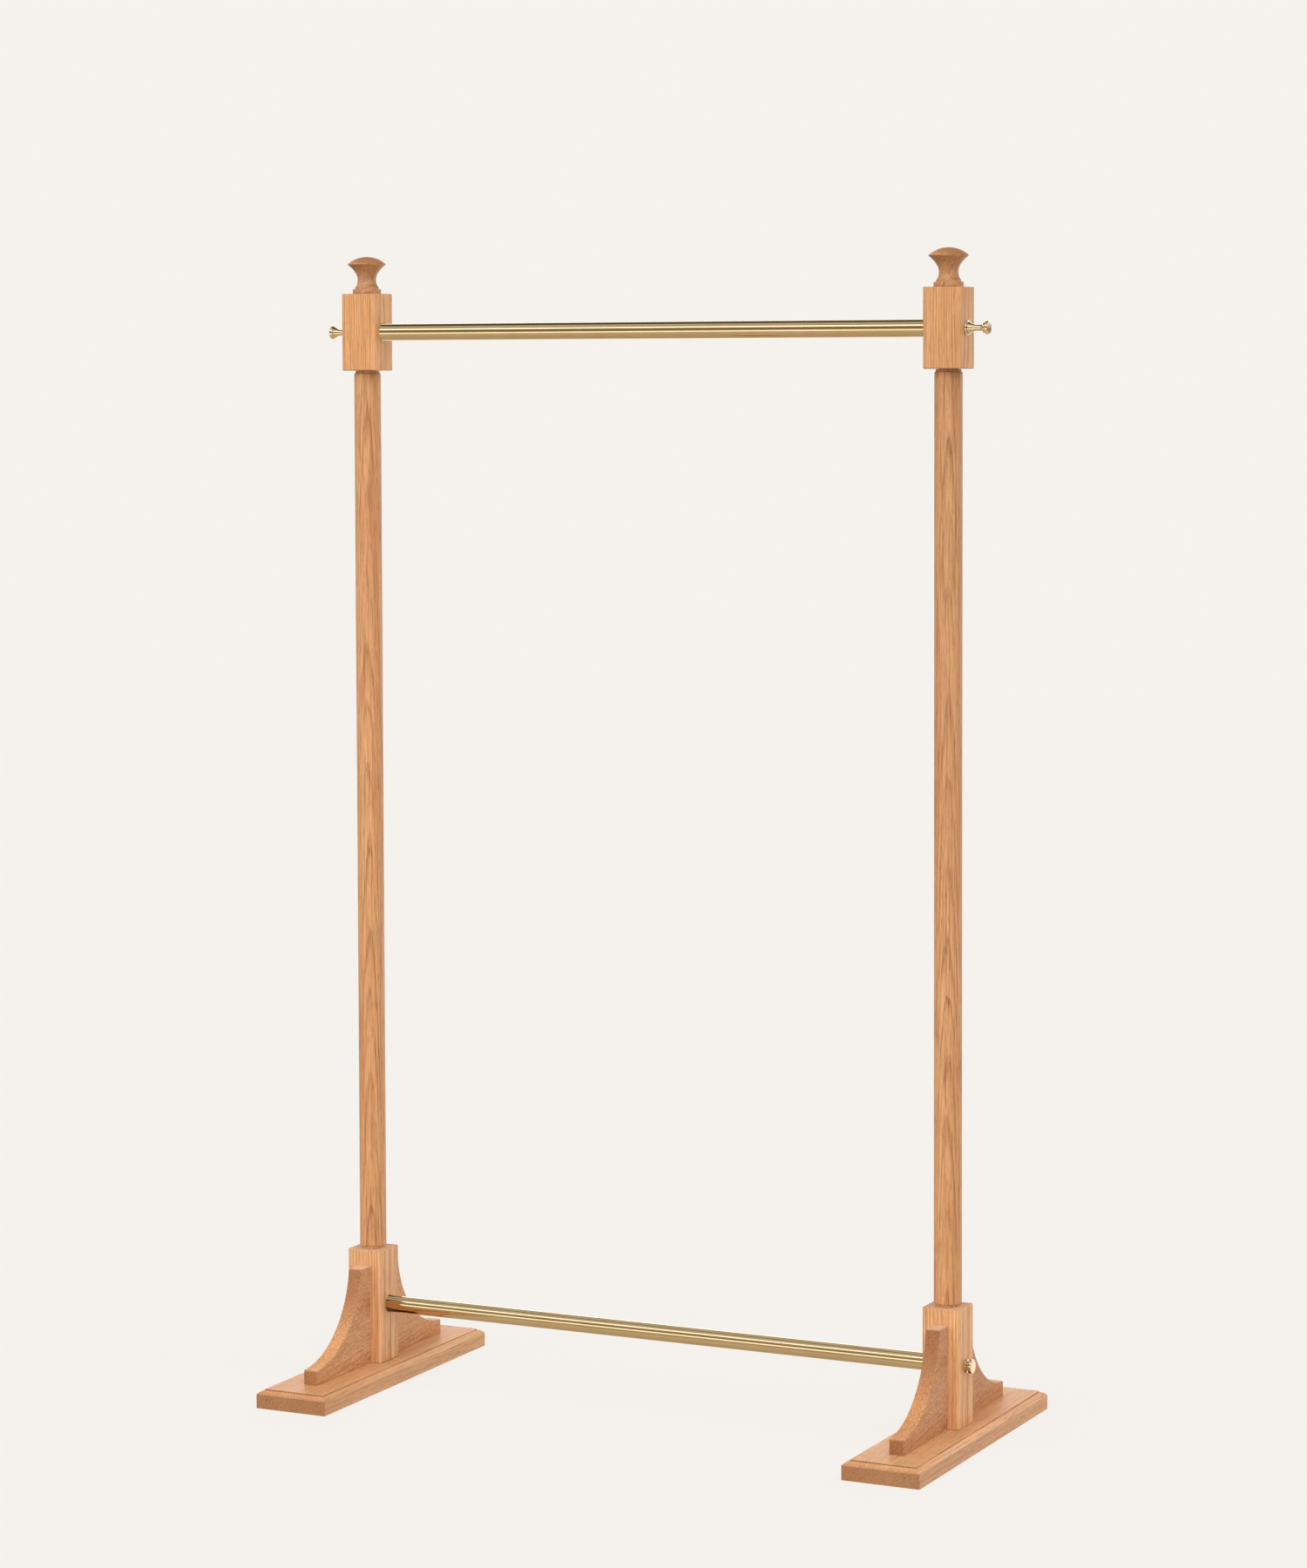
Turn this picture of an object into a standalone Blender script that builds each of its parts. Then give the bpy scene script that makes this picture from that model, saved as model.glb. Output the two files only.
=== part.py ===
"""Free-standing oak garment rail with two brass rails, in metres, +Z up.

X runs along the rails, Y from front (-) to back (+), and the origin lies on the floor midway
between the two uprights. Each upright is a moulded base plate, a square lower block flanked by
two curved brackets, a round pole, a square upper block and a turned finial. Each end of a rail
sits in a pocket in its block and is drawn up by a brass knob, whose stud passes through the
block into a tapped plug in the rail's end.
"""

import math
from collections import namedtuple

import bmesh
import bpy
from mathutils import Matrix, Vector

# Whole object
TOTAL_HEIGHT = 1.500
SPAN = 0.829  # between the centres of the two uprights
GAP = 0.0003  # left between two pieces that touch

# Base plates
BASE_WIDTH = 0.103
BASE_LENGTH = 0.437
BASE_THICKNESS = 0.0245
MOULDING_WIDTH = 0.0080  # shallow convex moulding along the top edge
MOULDING_DROP = 0.0048
MOULDING_SWELL = (0.0032, 0.0011)  # control point: inset from the side, distance below the ledge
MOULDING_STEP = 0.0015  # little upright step between the moulding and the top panel
MOULDING_LEDGE = 0.0004  # flat at the foot of that step
MOULDING_SEGMENTS = 5

# Square blocks
BLOCK_SIDE = 0.050
BLOCK_EDGE_RADIUS = 0.0032
BLOCK_EDGE_SEGMENTS = 3
LOWER_BLOCK_HEIGHT = 0.151
UPPER_BLOCK_HEIGHT = 0.1015

# Brackets: heights above the base plate, distances out from the block's face
BRACKET_THICKNESS = 0.019
BRACKET_HEIGHT = 0.130
BRACKET_TOP_DEPTH = 0.0247
BRACKET_REACH = 0.1425
BRACKET_TOE_HEIGHT = 0.019
BRACKET_ARC_RADIUS = 0.1225
BRACKET_ARC_SEGMENTS = 18

# Poles
POLE_RADIUS = 0.0176
NECK_RADIUS = 0.0161
NECK_HEIGHT = 0.0036
POLE_EDGE = 0.0008  # small bevel where the pole meets its neck
TENON_RADIUS = 0.0125
TENON_LENGTH = 0.030

# Finials: heights above the upper block
FINIAL_HEIGHT = 0.049
FINIAL_FOOT_RADIUS = 0.0189
FINIAL_FOOT_HEIGHT = 0.0062
FINIAL_BEAD_RADIUS = 0.0158
FINIAL_BEAD_HEIGHT = 0.0027
FINIAL_WAIST_RADIUS = 0.0121
FINIAL_WAIST_HEIGHT = 0.0185
FINIAL_RIM_RADIUS = 0.0253
FINIAL_RIM_HEIGHT = 0.0388
FINIAL_RIM_EDGE = 0.0006
FINIAL_COVE_SEGMENTS = 6
FINIAL_FLARE_SEGMENTS = 3
FINIAL_DOME_SEGMENTS = 5

# Brass rails
RAIL_RADIUS = 0.011
RAIL_WALL = 0.0012
RAIL_POCKET_DEPTH = 0.015
UPPER_RAIL_HEIGHT = 1.400
LOWER_RAIL_HEIGHT = 0.101
PLUG_LENGTH = 0.025

# Studs
STUD_RADIUS = 0.003
STUD_THREAD_ENGAGEMENT = 0.010  # length of stud inside the plug: ten turns at 1 mm a turn
STUD_BEVEL = 0.0005
STUD_HOLE_RADIUS = 0.0033
TAPPED_HOLE_RADIUS = 0.00315

# Pegs, the upper knobs: points are (radius, distance out from the block's face)
PEG_WASHER_RADIUS = 0.0094
PEG_WASHER_THICKNESS = 0.0016
PEG_STUD_DEPTH = 0.0062
PEG_BASE_RADIUS = 0.0076
PEG_BASE_EDGE = 0.0009
PEG_NECK_START = (0.0072, 0.0034)
PEG_NECK_CONTROL = (0.0039, 0.0072)
PEG_WAIST = (0.0039, 0.0150)
PEG_FLARE_CONTROL = (0.0039, 0.0200)
PEG_LIP = (0.0070, 0.0226)
PEG_HEAD = ((0.0061, 0.0234), (0.0080, 0.0248), (0.0087, 0.0262), (0.0087, 0.0280), (0.0079, 0.0287))
PEG_LENGTH = 0.029
PEG_NECK_SEGMENTS = 4
PEG_FLARE_SEGMENTS = 3

# Buttons, the lower knobs: points are (radius, distance out from the block's face)
BUTTON_WASHER_RADIUS = 0.0084
BUTTON_WASHER_THICKNESS = 0.0020
BUTTON_STUD_DEPTH = 0.0045
BUTTON_GROOVE_RADIUS = 0.0066
BUTTON_GROOVE_END = 0.0039
BUTTON_HEAD = ((0.0080, 0.0044), (0.0089, 0.0055), (0.0089, 0.0087), (0.0084, 0.0093))
BUTTON_LENGTH = 0.0093

# Hidden fastenings
BOLT_SHANK_RADIUS = 0.004
BOLT_HEAD_RADIUS = 0.0065
BOLT_HEAD_HEIGHT = 0.0078
BOLT_HEAD_LIFT = 0.0005  # head set above the floor
BOLT_KEY_ACROSS_FLATS = 0.006
BOLT_KEY_DEPTH = 0.004
BOLT_REACH = 0.020  # length of bolt inside the insert
BOLT_TIP_BEVEL = 0.001
BOLT_WASHER_RADIUS = 0.009
BOLT_WASHER_THICKNESS = 0.0016
BOLT_COUNTERBORE_RADIUS = 0.010
BOLT_COUNTERBORE_DEPTH = 0.0105
BOLT_HOLE_RADIUS = 0.0045
INSERT_RADIUS = 0.006
INSERT_LENGTH = 0.025
INSERT_BORE_RADIUS = 0.0042
SCREW_RADIUS = 0.0022
SCREW_HEAD_RADIUS = 0.0043
SCREW_HEAD_HEIGHT = 0.0024
SCREW_HEAD_LIFT = 0.0008
SCREW_REACH = 0.022  # length of screw inside the bracket
SCREW_POINT_LENGTH = 0.006
SCREW_HOLE_RADIUS = 0.0026
SCREW_COUNTERBORE_RADIUS = 0.0048
SCREW_COUNTERBORE_DEPTH = 0.0038
SCREW_DISTANCE = 0.060  # out from the block's face
SCREW_SLOT_WIDTH = 0.0012
SCREW_SLOT_DEPTH = 0.0012
DOWEL_RADIUS = 0.004
DOWEL_LENGTH = 0.030
DOWEL_HOLE_RADIUS = 0.0043
DOWEL_HEIGHT = 0.100  # above the base plate
FINIAL_SCREW_RADIUS = 0.003
FINIAL_SCREW_LENGTH = 0.034
PIN_BEVEL = 0.001  # at the ends of the dowels and the finials' screws

# Number of sides of round pieces
ROUND_SEGMENTS = 24
KNOB_SEGMENTS = 20
SMALL_SEGMENTS = 16
SHARP_ANGLE = math.radians(35)
CUTTER_OVERRUN = 0.002

# Heights worked out from the sizes above
LOWER_BLOCK_BOTTOM = BASE_THICKNESS + GAP
LOWER_BLOCK_TOP = BASE_THICKNESS + LOWER_BLOCK_HEIGHT
UPPER_BLOCK_TOP = TOTAL_HEIGHT - FINIAL_HEIGHT
UPPER_BLOCK_BOTTOM = UPPER_BLOCK_TOP - UPPER_BLOCK_HEIGHT
HALF_BLOCK = BLOCK_SIDE / 2

Knob = namedtuple("Knob", "height outline washer_radius washer_thickness stud_depth")

SIDES = {"left": -1, "right": 1}
DEPTHS = {"front": -1, "back": 1}
X_AXIS = Vector((1, 0, 0))
Y_AXIS = Vector((0, 1, 0))
Z_AXIS = Vector((0, 0, 1))


def clear_scene():
    for obj in list(bpy.data.objects):
        bpy.data.objects.remove(obj)


def new_material(name, colour, roughness, metallic=0.0):
    material = bpy.data.materials.new(name)
    material.use_nodes = True
    shader = material.node_tree.nodes["Principled BSDF"]
    shader.inputs["Base Color"].default_value = (*colour, 1)
    shader.inputs["Roughness"].default_value = roughness
    shader.inputs["Metallic"].default_value = metallic
    return material


def new_materials():
    return {
        "oak": new_material("oak", (0.60, 0.33, 0.16), 0.55),
        "pole_oak": new_material("pole_oak", (0.52, 0.27, 0.13), 0.5),
        "brass_satin": new_material("brass_satin", (0.62, 0.49, 0.25), 0.32, 1.0),
        "brass_polished": new_material("brass_polished", (0.83, 0.66, 0.36), 0.14, 1.0),
        "steel": new_material("steel", (0.55, 0.55, 0.56), 0.35, 1.0),
        "beech": new_material("beech", (0.66, 0.46, 0.27), 0.6),
    }


def new_empty(name, location):
    empty = bpy.data.objects.new(name, None)
    empty.location = location
    bpy.context.scene.collection.objects.link(empty)
    return empty


def add_object(name, shape, material, parent=None, location=(0, 0, 0), axis=Z_AXIS):
    """Makes an object of a bmesh, with its own +Z turned to lie along axis."""
    mesh = bpy.data.meshes.new(name)
    bmesh.ops.recalc_face_normals(shape, faces=shape.faces)
    shape.to_mesh(mesh)
    shape.free()
    mesh.shade_smooth()
    mesh.set_sharp_from_angle(angle=SHARP_ANGLE)
    mesh.materials.append(material)
    obj = bpy.data.objects.new(name, mesh)
    obj.rotation_euler = Z_AXIS.rotation_difference(Vector(axis)).to_euler()
    obj.location = location
    obj.parent = parent
    bpy.context.scene.collection.objects.link(obj)
    return obj


def turned(profile, segments):
    """Turns (radius, height) points about Z. A point on the axis closes that end, and a profile
    that never reaches the axis is a closed outline, which makes a ring."""
    shape = bmesh.new()
    rings = []
    for radius, height in profile:
        if radius == 0:
            rings.append([shape.verts.new((0, 0, height))])
            continue
        angles = (2 * math.pi * step / segments for step in range(segments))
        rings.append(
            [shape.verts.new((radius * math.cos(a), radius * math.sin(a), height)) for a in angles]
        )
    pairs = list(zip(rings, rings[1:]))
    if profile[0][0] > 0 and profile[-1][0] > 0:
        pairs.append((rings[-1], rings[0]))
    for lower, upper in pairs:
        for step in range(segments):
            after = (step + 1) % segments
            if len(lower) == 1:
                corners = (lower[0], upper[after], upper[step])
            elif len(upper) == 1:
                corners = (lower[step], lower[after], upper[0])
            else:
                corners = (lower[step], lower[after], upper[after], upper[step])
            shape.faces.new(corners)
    return shape


def rod(radius, length, bevel):
    """A cylinder from the origin up +Z, with a small bevel at both ends."""
    profile = [
        (0, 0),
        (radius - bevel, 0),
        (radius, bevel),
        (radius, length - bevel),
        (radius - bevel, length),
        (0, length),
    ]
    return turned(profile, SMALL_SEGMENTS)


def ring(outer, inner, length, segments):
    """A tube or washer from the origin up +Z."""
    profile = [(inner, 0), (outer, 0), (outer, length), (inner, length)]
    return turned(profile, segments)


def arc(centre, radius, start, end, segments):
    """Points on a circle, from one angle to another, both included."""
    angles = (start + (end - start) * step / segments for step in range(segments + 1))
    return [(centre[0] + radius * math.cos(a), centre[1] + radius * math.sin(a)) for a in angles]


def quadratic_curve(start, control, end, segments):
    """Points on a quadratic Bezier curve, both ends included."""
    points = []
    for step in range(segments + 1):
        t = step / segments
        weights = ((1 - t) ** 2, 2 * t * (1 - t), t * t)
        both = zip(start, control, end)
        points.append(tuple(sum(w * v for w, v in zip(weights, values)) for values in both))
    return points


def extruded(outline, thickness):
    """A flat outline of (y, z) points, made solid along X about x = 0."""
    shape = bmesh.new()
    face = shape.faces.new([shape.verts.new((-thickness / 2, y, z)) for y, z in outline])
    made = bmesh.ops.extrude_face_region(shape, geom=[face])["geom"]
    moved = [item for item in made if isinstance(item, bmesh.types.BMVert)]
    bmesh.ops.translate(shape, verts=moved, vec=(thickness, 0, 0))
    return shape


def cut(target, name, shape, location, axis=Z_AXIS):
    """Takes a closed shape away from an object with a Boolean modifier."""
    cutter = add_object(name, shape, target.data.materials[0], target.parent, location, axis)
    cutter.hide_render = True
    cutter.display_type = "WIRE"
    modifier = target.modifiers.new(name, "BOOLEAN")
    modifier.object = cutter
    modifier.solver = "EXACT"


def drill(target, label, mouth, direction, steps, segments=SMALL_SEGMENTS):
    """Drills a round hole from a point on a face, along direction. Its steps are (radius, depth)
    pairs, both measured from the face, widest and shallowest first."""
    direction = Vector(direction)
    profile = [(0, -CUTTER_OVERRUN)]
    reached = -CUTTER_OVERRUN
    for radius, depth in steps:
        profile += [(radius, reached), (radius, depth)]
        reached = depth
    profile.append((0, reached))
    cut(target, f"{target.name}_{label}", turned(profile, segments), mouth, direction)


def square_block(height):
    """A square prism up from the origin with its four upright edges rounded."""
    shape = bmesh.new()
    stretch = Matrix.Diagonal((BLOCK_SIDE, BLOCK_SIDE, height, 1))
    bmesh.ops.create_cube(shape, size=1, matrix=Matrix.Translation((0, 0, height / 2)) @ stretch)
    upright = [e for e in shape.edges if abs(e.verts[0].co.z - e.verts[1].co.z) > height / 2]
    bmesh.ops.bevel(
        shape,
        geom=upright,
        offset=BLOCK_EDGE_RADIUS,
        offset_type="OFFSET",
        segments=BLOCK_EDGE_SEGMENTS,
        profile=0.5,
        affect="EDGES",
    )
    return shape


def moulded_plate():
    """The base plate: a rectangle whose inset grows up a convex moulding, a ledge and a step."""
    ledge = BASE_THICKNESS - MOULDING_STEP
    panel_inset = MOULDING_WIDTH + MOULDING_LEDGE
    levels = [(0, 0)]
    for step in range(MOULDING_SEGMENTS + 1):
        t = step / MOULDING_SEGMENTS
        inset = 2 * t * (1 - t) * MOULDING_SWELL[0] + t**2 * MOULDING_WIDTH
        below = (1 - t) ** 2 * MOULDING_DROP + 2 * t * (1 - t) * MOULDING_SWELL[1]
        levels.append((inset, ledge - below))
    levels += [(panel_inset, ledge), (panel_inset, BASE_THICKNESS)]
    shape = bmesh.new()
    rings = []
    for inset, height in levels:
        x = BASE_WIDTH / 2 - inset
        y = BASE_LENGTH / 2 - inset
        corners = ((-x, -y), (x, -y), (x, y), (-x, y))
        rings.append([shape.verts.new((*corner, height)) for corner in corners])
    shape.faces.new(reversed(rings[0]))
    shape.faces.new(rings[-1])
    for lower, upper in zip(rings, rings[1:]):
        for step in range(4):
            after = (step + 1) % 4
            shape.faces.new((lower[step], lower[after], upper[after], upper[step]))
    return shape


def bracket_outline():
    """(distance out from the block, height) points of a bracket, standing at height 0."""
    top = (BRACKET_TOP_DEPTH, BRACKET_HEIGHT)
    toe = (BRACKET_REACH, BRACKET_TOE_HEIGHT)
    middle = ((top[0] + toe[0]) / 2, (top[1] + toe[1]) / 2)
    chord = math.dist(top, toe)
    rise = math.sqrt(BRACKET_ARC_RADIUS**2 - (chord / 2) ** 2)
    outward = ((top[1] - toe[1]) / chord, (toe[0] - top[0]) / chord)
    centre = (middle[0] + rise * outward[0], middle[1] + rise * outward[1])
    start = math.atan2(top[1] - centre[1], top[0] - centre[0]) % (2 * math.pi)
    end = math.atan2(toe[1] - centre[1], toe[0] - centre[0]) % (2 * math.pi)
    curve = arc(centre, BRACKET_ARC_RADIUS, start, end, BRACKET_ARC_SEGMENTS)
    return [(0, 0), (0, BRACKET_HEIGHT), *curve, (BRACKET_REACH, 0)]


def add_base_plate(side, frame, materials):
    """The plate, counterbored from below for the block's bolt and the two brackets' screws."""
    plate = add_object(f"{side}_base_plate", moulded_plate(), materials["oak"], frame)
    through = BASE_THICKNESS + CUTTER_OVERRUN
    bolt_steps = [(BOLT_COUNTERBORE_RADIUS, BOLT_COUNTERBORE_DEPTH), (BOLT_HOLE_RADIUS, through)]
    drill(plate, "bolt_hole", (0, 0, 0), Z_AXIS, bolt_steps)
    screw_steps = [(SCREW_COUNTERBORE_RADIUS, SCREW_COUNTERBORE_DEPTH), (SCREW_HOLE_RADIUS, through)]
    for depth, sign in DEPTHS.items():
        mouth = (0, sign * (HALF_BLOCK + SCREW_DISTANCE), 0)
        drill(plate, f"{depth}_screw_hole", mouth, Z_AXIS, screw_steps)


def drill_for_rail(block, sign, height):
    """The rail's pocket in the inner face, and the stud's hole on through to the outer face."""
    inner_face = (-sign * HALF_BLOCK, 0, height)
    steps = [
        (RAIL_RADIUS + GAP, RAIL_POCKET_DEPTH),
        (STUD_HOLE_RADIUS, BLOCK_SIDE + CUTTER_OVERRUN),
    ]
    drill(block, "rail_hole", inner_face, X_AXIS * sign, steps, ROUND_SEGMENTS)


def add_lower_block(side, sign, frame, materials):
    shape = square_block(LOWER_BLOCK_TOP - LOWER_BLOCK_BOTTOM)
    place = (0, 0, LOWER_BLOCK_BOTTOM)
    top = (0, 0, LOWER_BLOCK_TOP)
    block = add_object(f"{side}_lower_block", shape, materials["oak"], frame, place)
    mortise_steps = [(TENON_RADIUS + GAP, TENON_LENGTH + 2 * GAP)]
    drill(block, "mortise", top, -Z_AXIS, mortise_steps, ROUND_SEGMENTS)
    drill(block, "insert_hole", place, Z_AXIS, [(INSERT_RADIUS + GAP, INSERT_LENGTH + 2 * GAP)])
    drill_for_rail(block, sign, LOWER_RAIL_HEIGHT)
    dowel_steps = [(DOWEL_HOLE_RADIUS, DOWEL_LENGTH / 2 + GAP)]
    for depth, front in DEPTHS.items():
        mouth = (0, front * HALF_BLOCK, BASE_THICKNESS + DOWEL_HEIGHT)
        drill(block, f"{depth}_dowel_hole", mouth, -Y_AXIS * front, dowel_steps)


def add_upper_block(side, sign, frame, materials):
    shape = square_block(UPPER_BLOCK_HEIGHT)
    place = (0, 0, UPPER_BLOCK_BOTTOM)
    top = (0, 0, UPPER_BLOCK_TOP)
    block = add_object(f"{side}_upper_block", shape, materials["oak"], frame, place)
    mortise_steps = [(TENON_RADIUS + GAP, TENON_LENGTH + 2 * GAP)]
    drill(block, "mortise", place, Z_AXIS, mortise_steps, ROUND_SEGMENTS)
    drill_for_rail(block, sign, UPPER_RAIL_HEIGHT)
    screw_steps = [(FINIAL_SCREW_RADIUS + GAP, FINIAL_SCREW_LENGTH / 2 + GAP)]
    drill(block, "finial_screw_hole", top, -Z_AXIS, screw_steps)


def add_bracket(side, depth, frame, materials):
    """One bracket, with its back against the block and its foot on the base plate."""
    sign = DEPTHS[depth]
    outline = [(sign * out, height) for out, height in bracket_outline()]
    place = (0, sign * (HALF_BLOCK + GAP), BASE_THICKNESS + GAP)
    name = f"{side}_{depth}_bracket"
    bracket = add_object(name, extruded(outline, BRACKET_THICKNESS), materials["oak"], frame, place)
    mouth = (0, place[1], BASE_THICKNESS + DOWEL_HEIGHT)
    dowel_steps = [(DOWEL_HOLE_RADIUS, DOWEL_LENGTH / 2 + GAP)]
    drill(bracket, "dowel_hole", mouth, Y_AXIS * sign, dowel_steps)
    mouth = (0, sign * (HALF_BLOCK + SCREW_DISTANCE), place[2])
    screw_steps = [(SCREW_HOLE_RADIUS, SCREW_REACH + GAP)]
    drill(bracket, "screw_hole", mouth, Z_AXIS, screw_steps)


def add_pole(side, frame, materials):
    """A round pole with a narrower neck and a tenon at each end."""
    length = UPPER_BLOCK_BOTTOM - LOWER_BLOCK_TOP
    half = [
        (0, length / 2 + TENON_LENGTH),
        (TENON_RADIUS, length / 2 + TENON_LENGTH),
        (TENON_RADIUS, length / 2 - GAP),
        (NECK_RADIUS, length / 2 - GAP),
        (NECK_RADIUS, length / 2 - NECK_HEIGHT),
        (POLE_RADIUS - POLE_EDGE, length / 2 - NECK_HEIGHT),
        (POLE_RADIUS, length / 2 - NECK_HEIGHT - POLE_EDGE),
    ]
    profile = [(radius, -height) for radius, height in half] + half[::-1]
    middle = (0, 0, (UPPER_BLOCK_BOTTOM + LOWER_BLOCK_TOP) / 2)
    shape = turned(profile, ROUND_SEGMENTS)
    add_object(f"{side}_pole", shape, materials["pole_oak"], frame, middle)


def finial_profile():
    """Two steps, a flare in to the waist, a cove out to a thin rim, and a low dome."""
    bead_top = FINIAL_FOOT_HEIGHT + FINIAL_BEAD_HEIGHT
    waist = (FINIAL_WAIST_RADIUS, FINIAL_WAIST_HEIGHT)
    rim = (FINIAL_RIM_RADIUS, FINIAL_RIM_HEIGHT)
    flare_start = (FINIAL_BEAD_RADIUS, bead_top)
    flare_control = (FINIAL_WAIST_RADIUS, (bead_top + waist[1]) / 2)
    cove_control = (FINIAL_WAIST_RADIUS, (waist[1] + rim[1]) / 2)
    flare = quadratic_curve(flare_start, flare_control, waist, FINIAL_FLARE_SEGMENTS)
    cove = quadratic_curve(waist, cove_control, rim, FINIAL_COVE_SEGMENTS)
    dome_rise = FINIAL_HEIGHT - FINIAL_RIM_HEIGHT - FINIAL_RIM_EDGE
    dome_radius = (FINIAL_RIM_RADIUS**2 + dome_rise**2) / (2 * dome_rise)
    dome_start = math.acos(FINIAL_RIM_RADIUS / dome_radius)
    dome_centre = (0, FINIAL_HEIGHT - dome_radius)
    dome = arc(dome_centre, dome_radius, dome_start, math.pi / 2, FINIAL_DOME_SEGMENTS)[:-1]
    return [
        (0, GAP),
        (FINIAL_FOOT_RADIUS, GAP),
        (FINIAL_FOOT_RADIUS, FINIAL_FOOT_HEIGHT),
        (FINIAL_BEAD_RADIUS, FINIAL_FOOT_HEIGHT),
        *flare,
        *cove[1:],
        *dome,
        (0, FINIAL_HEIGHT),
    ]


def add_finial(side, frame, materials):
    place = (0, 0, UPPER_BLOCK_TOP)
    shape = turned(finial_profile(), ROUND_SEGMENTS)
    finial = add_object(f"{side}_finial", shape, materials["oak"], frame, place)
    mouth = (0, 0, UPPER_BLOCK_TOP + GAP)
    screw_steps = [(FINIAL_SCREW_RADIUS + GAP, FINIAL_SCREW_LENGTH / 2)]
    drill(finial, "screw_hole", mouth, Z_AXIS, screw_steps)
    screw_start = (0, 0, UPPER_BLOCK_TOP - FINIAL_SCREW_LENGTH / 2)
    screw = rod(FINIAL_SCREW_RADIUS, FINIAL_SCREW_LENGTH, PIN_BEVEL)
    add_object(f"{side}_finial_screw", screw, materials["steel"], frame, screw_start)


def add_base_bolt(side, frame, materials):
    """The socket-head bolt that holds the lower block, its washer and its threaded insert."""
    head_top = BOLT_HEAD_LIFT + BOLT_HEAD_HEIGHT
    tip = BASE_THICKNESS + GAP + BOLT_REACH
    profile = [
        (0, BOLT_HEAD_LIFT),
        (BOLT_HEAD_RADIUS, BOLT_HEAD_LIFT),
        (BOLT_HEAD_RADIUS, head_top),
        (BOLT_SHANK_RADIUS, head_top),
        (BOLT_SHANK_RADIUS, tip - BOLT_TIP_BEVEL),
        (BOLT_SHANK_RADIUS - BOLT_TIP_BEVEL, tip),
        (0, tip),
    ]
    shape = turned(profile, SMALL_SEGMENTS)
    bolt = add_object(f"{side}_base_bolt", shape, materials["steel"], frame)
    key_steps = [(BOLT_KEY_ACROSS_FLATS / math.sqrt(3), BOLT_KEY_DEPTH)]
    drill(bolt, "key_socket", (0, 0, BOLT_HEAD_LIFT), Z_AXIS, key_steps, segments=6)
    washer = ring(BOLT_WASHER_RADIUS, BOLT_HOLE_RADIUS, BOLT_WASHER_THICKNESS, SMALL_SEGMENTS)
    place = (0, 0, BOLT_COUNTERBORE_DEPTH - GAP - BOLT_WASHER_THICKNESS)
    add_object(f"{side}_base_bolt_washer", washer, materials["steel"], frame, place)
    insert = ring(INSERT_RADIUS, INSERT_BORE_RADIUS, INSERT_LENGTH, SMALL_SEGMENTS)
    place = (0, 0, LOWER_BLOCK_BOTTOM + GAP)
    add_object(f"{side}_block_insert", insert, materials["steel"], frame, place)


def add_bracket_fastenings(side, depth, frame, materials):
    """The screw up through the base plate into a bracket, and the dowel from it to the block."""
    sign = DEPTHS[depth]
    head_top = SCREW_HEAD_LIFT + SCREW_HEAD_HEIGHT
    tip = BASE_THICKNESS + GAP + SCREW_REACH
    profile = [
        (0, SCREW_HEAD_LIFT),
        (SCREW_HEAD_RADIUS, SCREW_HEAD_LIFT),
        (SCREW_RADIUS, head_top),
        (SCREW_RADIUS, tip - SCREW_POINT_LENGTH),
        (0, tip),
    ]
    place = (0, sign * (HALF_BLOCK + SCREW_DISTANCE), 0)
    shape = turned(profile, SMALL_SEGMENTS)
    screw = add_object(f"{side}_{depth}_bracket_screw", shape, materials["steel"], frame, place)
    slot = bmesh.new()
    slot_length = 2 * (SCREW_HEAD_RADIUS + CUTTER_OVERRUN)
    size = (slot_length, SCREW_SLOT_WIDTH, 2 * SCREW_SLOT_DEPTH, 1)
    bmesh.ops.create_cube(slot, size=1, matrix=Matrix.Diagonal(size))
    cut(screw, f"{screw.name}_slot", slot, (0, place[1], SCREW_HEAD_LIFT))
    start = (0, sign * (HALF_BLOCK - DOWEL_LENGTH / 2), BASE_THICKNESS + DOWEL_HEIGHT)
    dowel = rod(DOWEL_RADIUS, DOWEL_LENGTH, PIN_BEVEL)
    name = f"{side}_{depth}_bracket_dowel"
    add_object(name, dowel, materials["beech"], frame, start, Y_AXIS * sign)


def add_upright(side, sign, materials):
    frame = new_empty(f"{side}_upright", (sign * SPAN / 2, 0, 0))
    add_base_plate(side, frame, materials)
    add_lower_block(side, sign, frame, materials)
    add_base_bolt(side, frame, materials)
    for depth in DEPTHS:
        add_bracket(side, depth, frame, materials)
        add_bracket_fastenings(side, depth, frame, materials)
    add_pole(side, frame, materials)
    add_upper_block(side, sign, frame, materials)
    add_finial(side, frame, materials)


def add_rail(level, height, materials):
    """A brass tube between the two uprights, with a tapped plug pressed into each end."""
    half = SPAN / 2 - HALF_BLOCK + RAIL_POCKET_DEPTH - GAP
    shape = ring(RAIL_RADIUS, RAIL_RADIUS - RAIL_WALL, 2 * half, ROUND_SEGMENTS)
    start = (-half, 0, height)
    add_object(f"{level}_rail", shape, materials["brass_satin"], None, start, X_AXIS)
    for side, sign in SIDES.items():
        plug = ring(RAIL_RADIUS - RAIL_WALL - GAP, TAPPED_HOLE_RADIUS, PLUG_LENGTH, SMALL_SEGMENTS)
        place = (sign * half, 0, height)
        name = f"{level}_{side}_rail_plug"
        add_object(name, plug, materials["steel"], None, place, -X_AXIS * sign)


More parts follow.
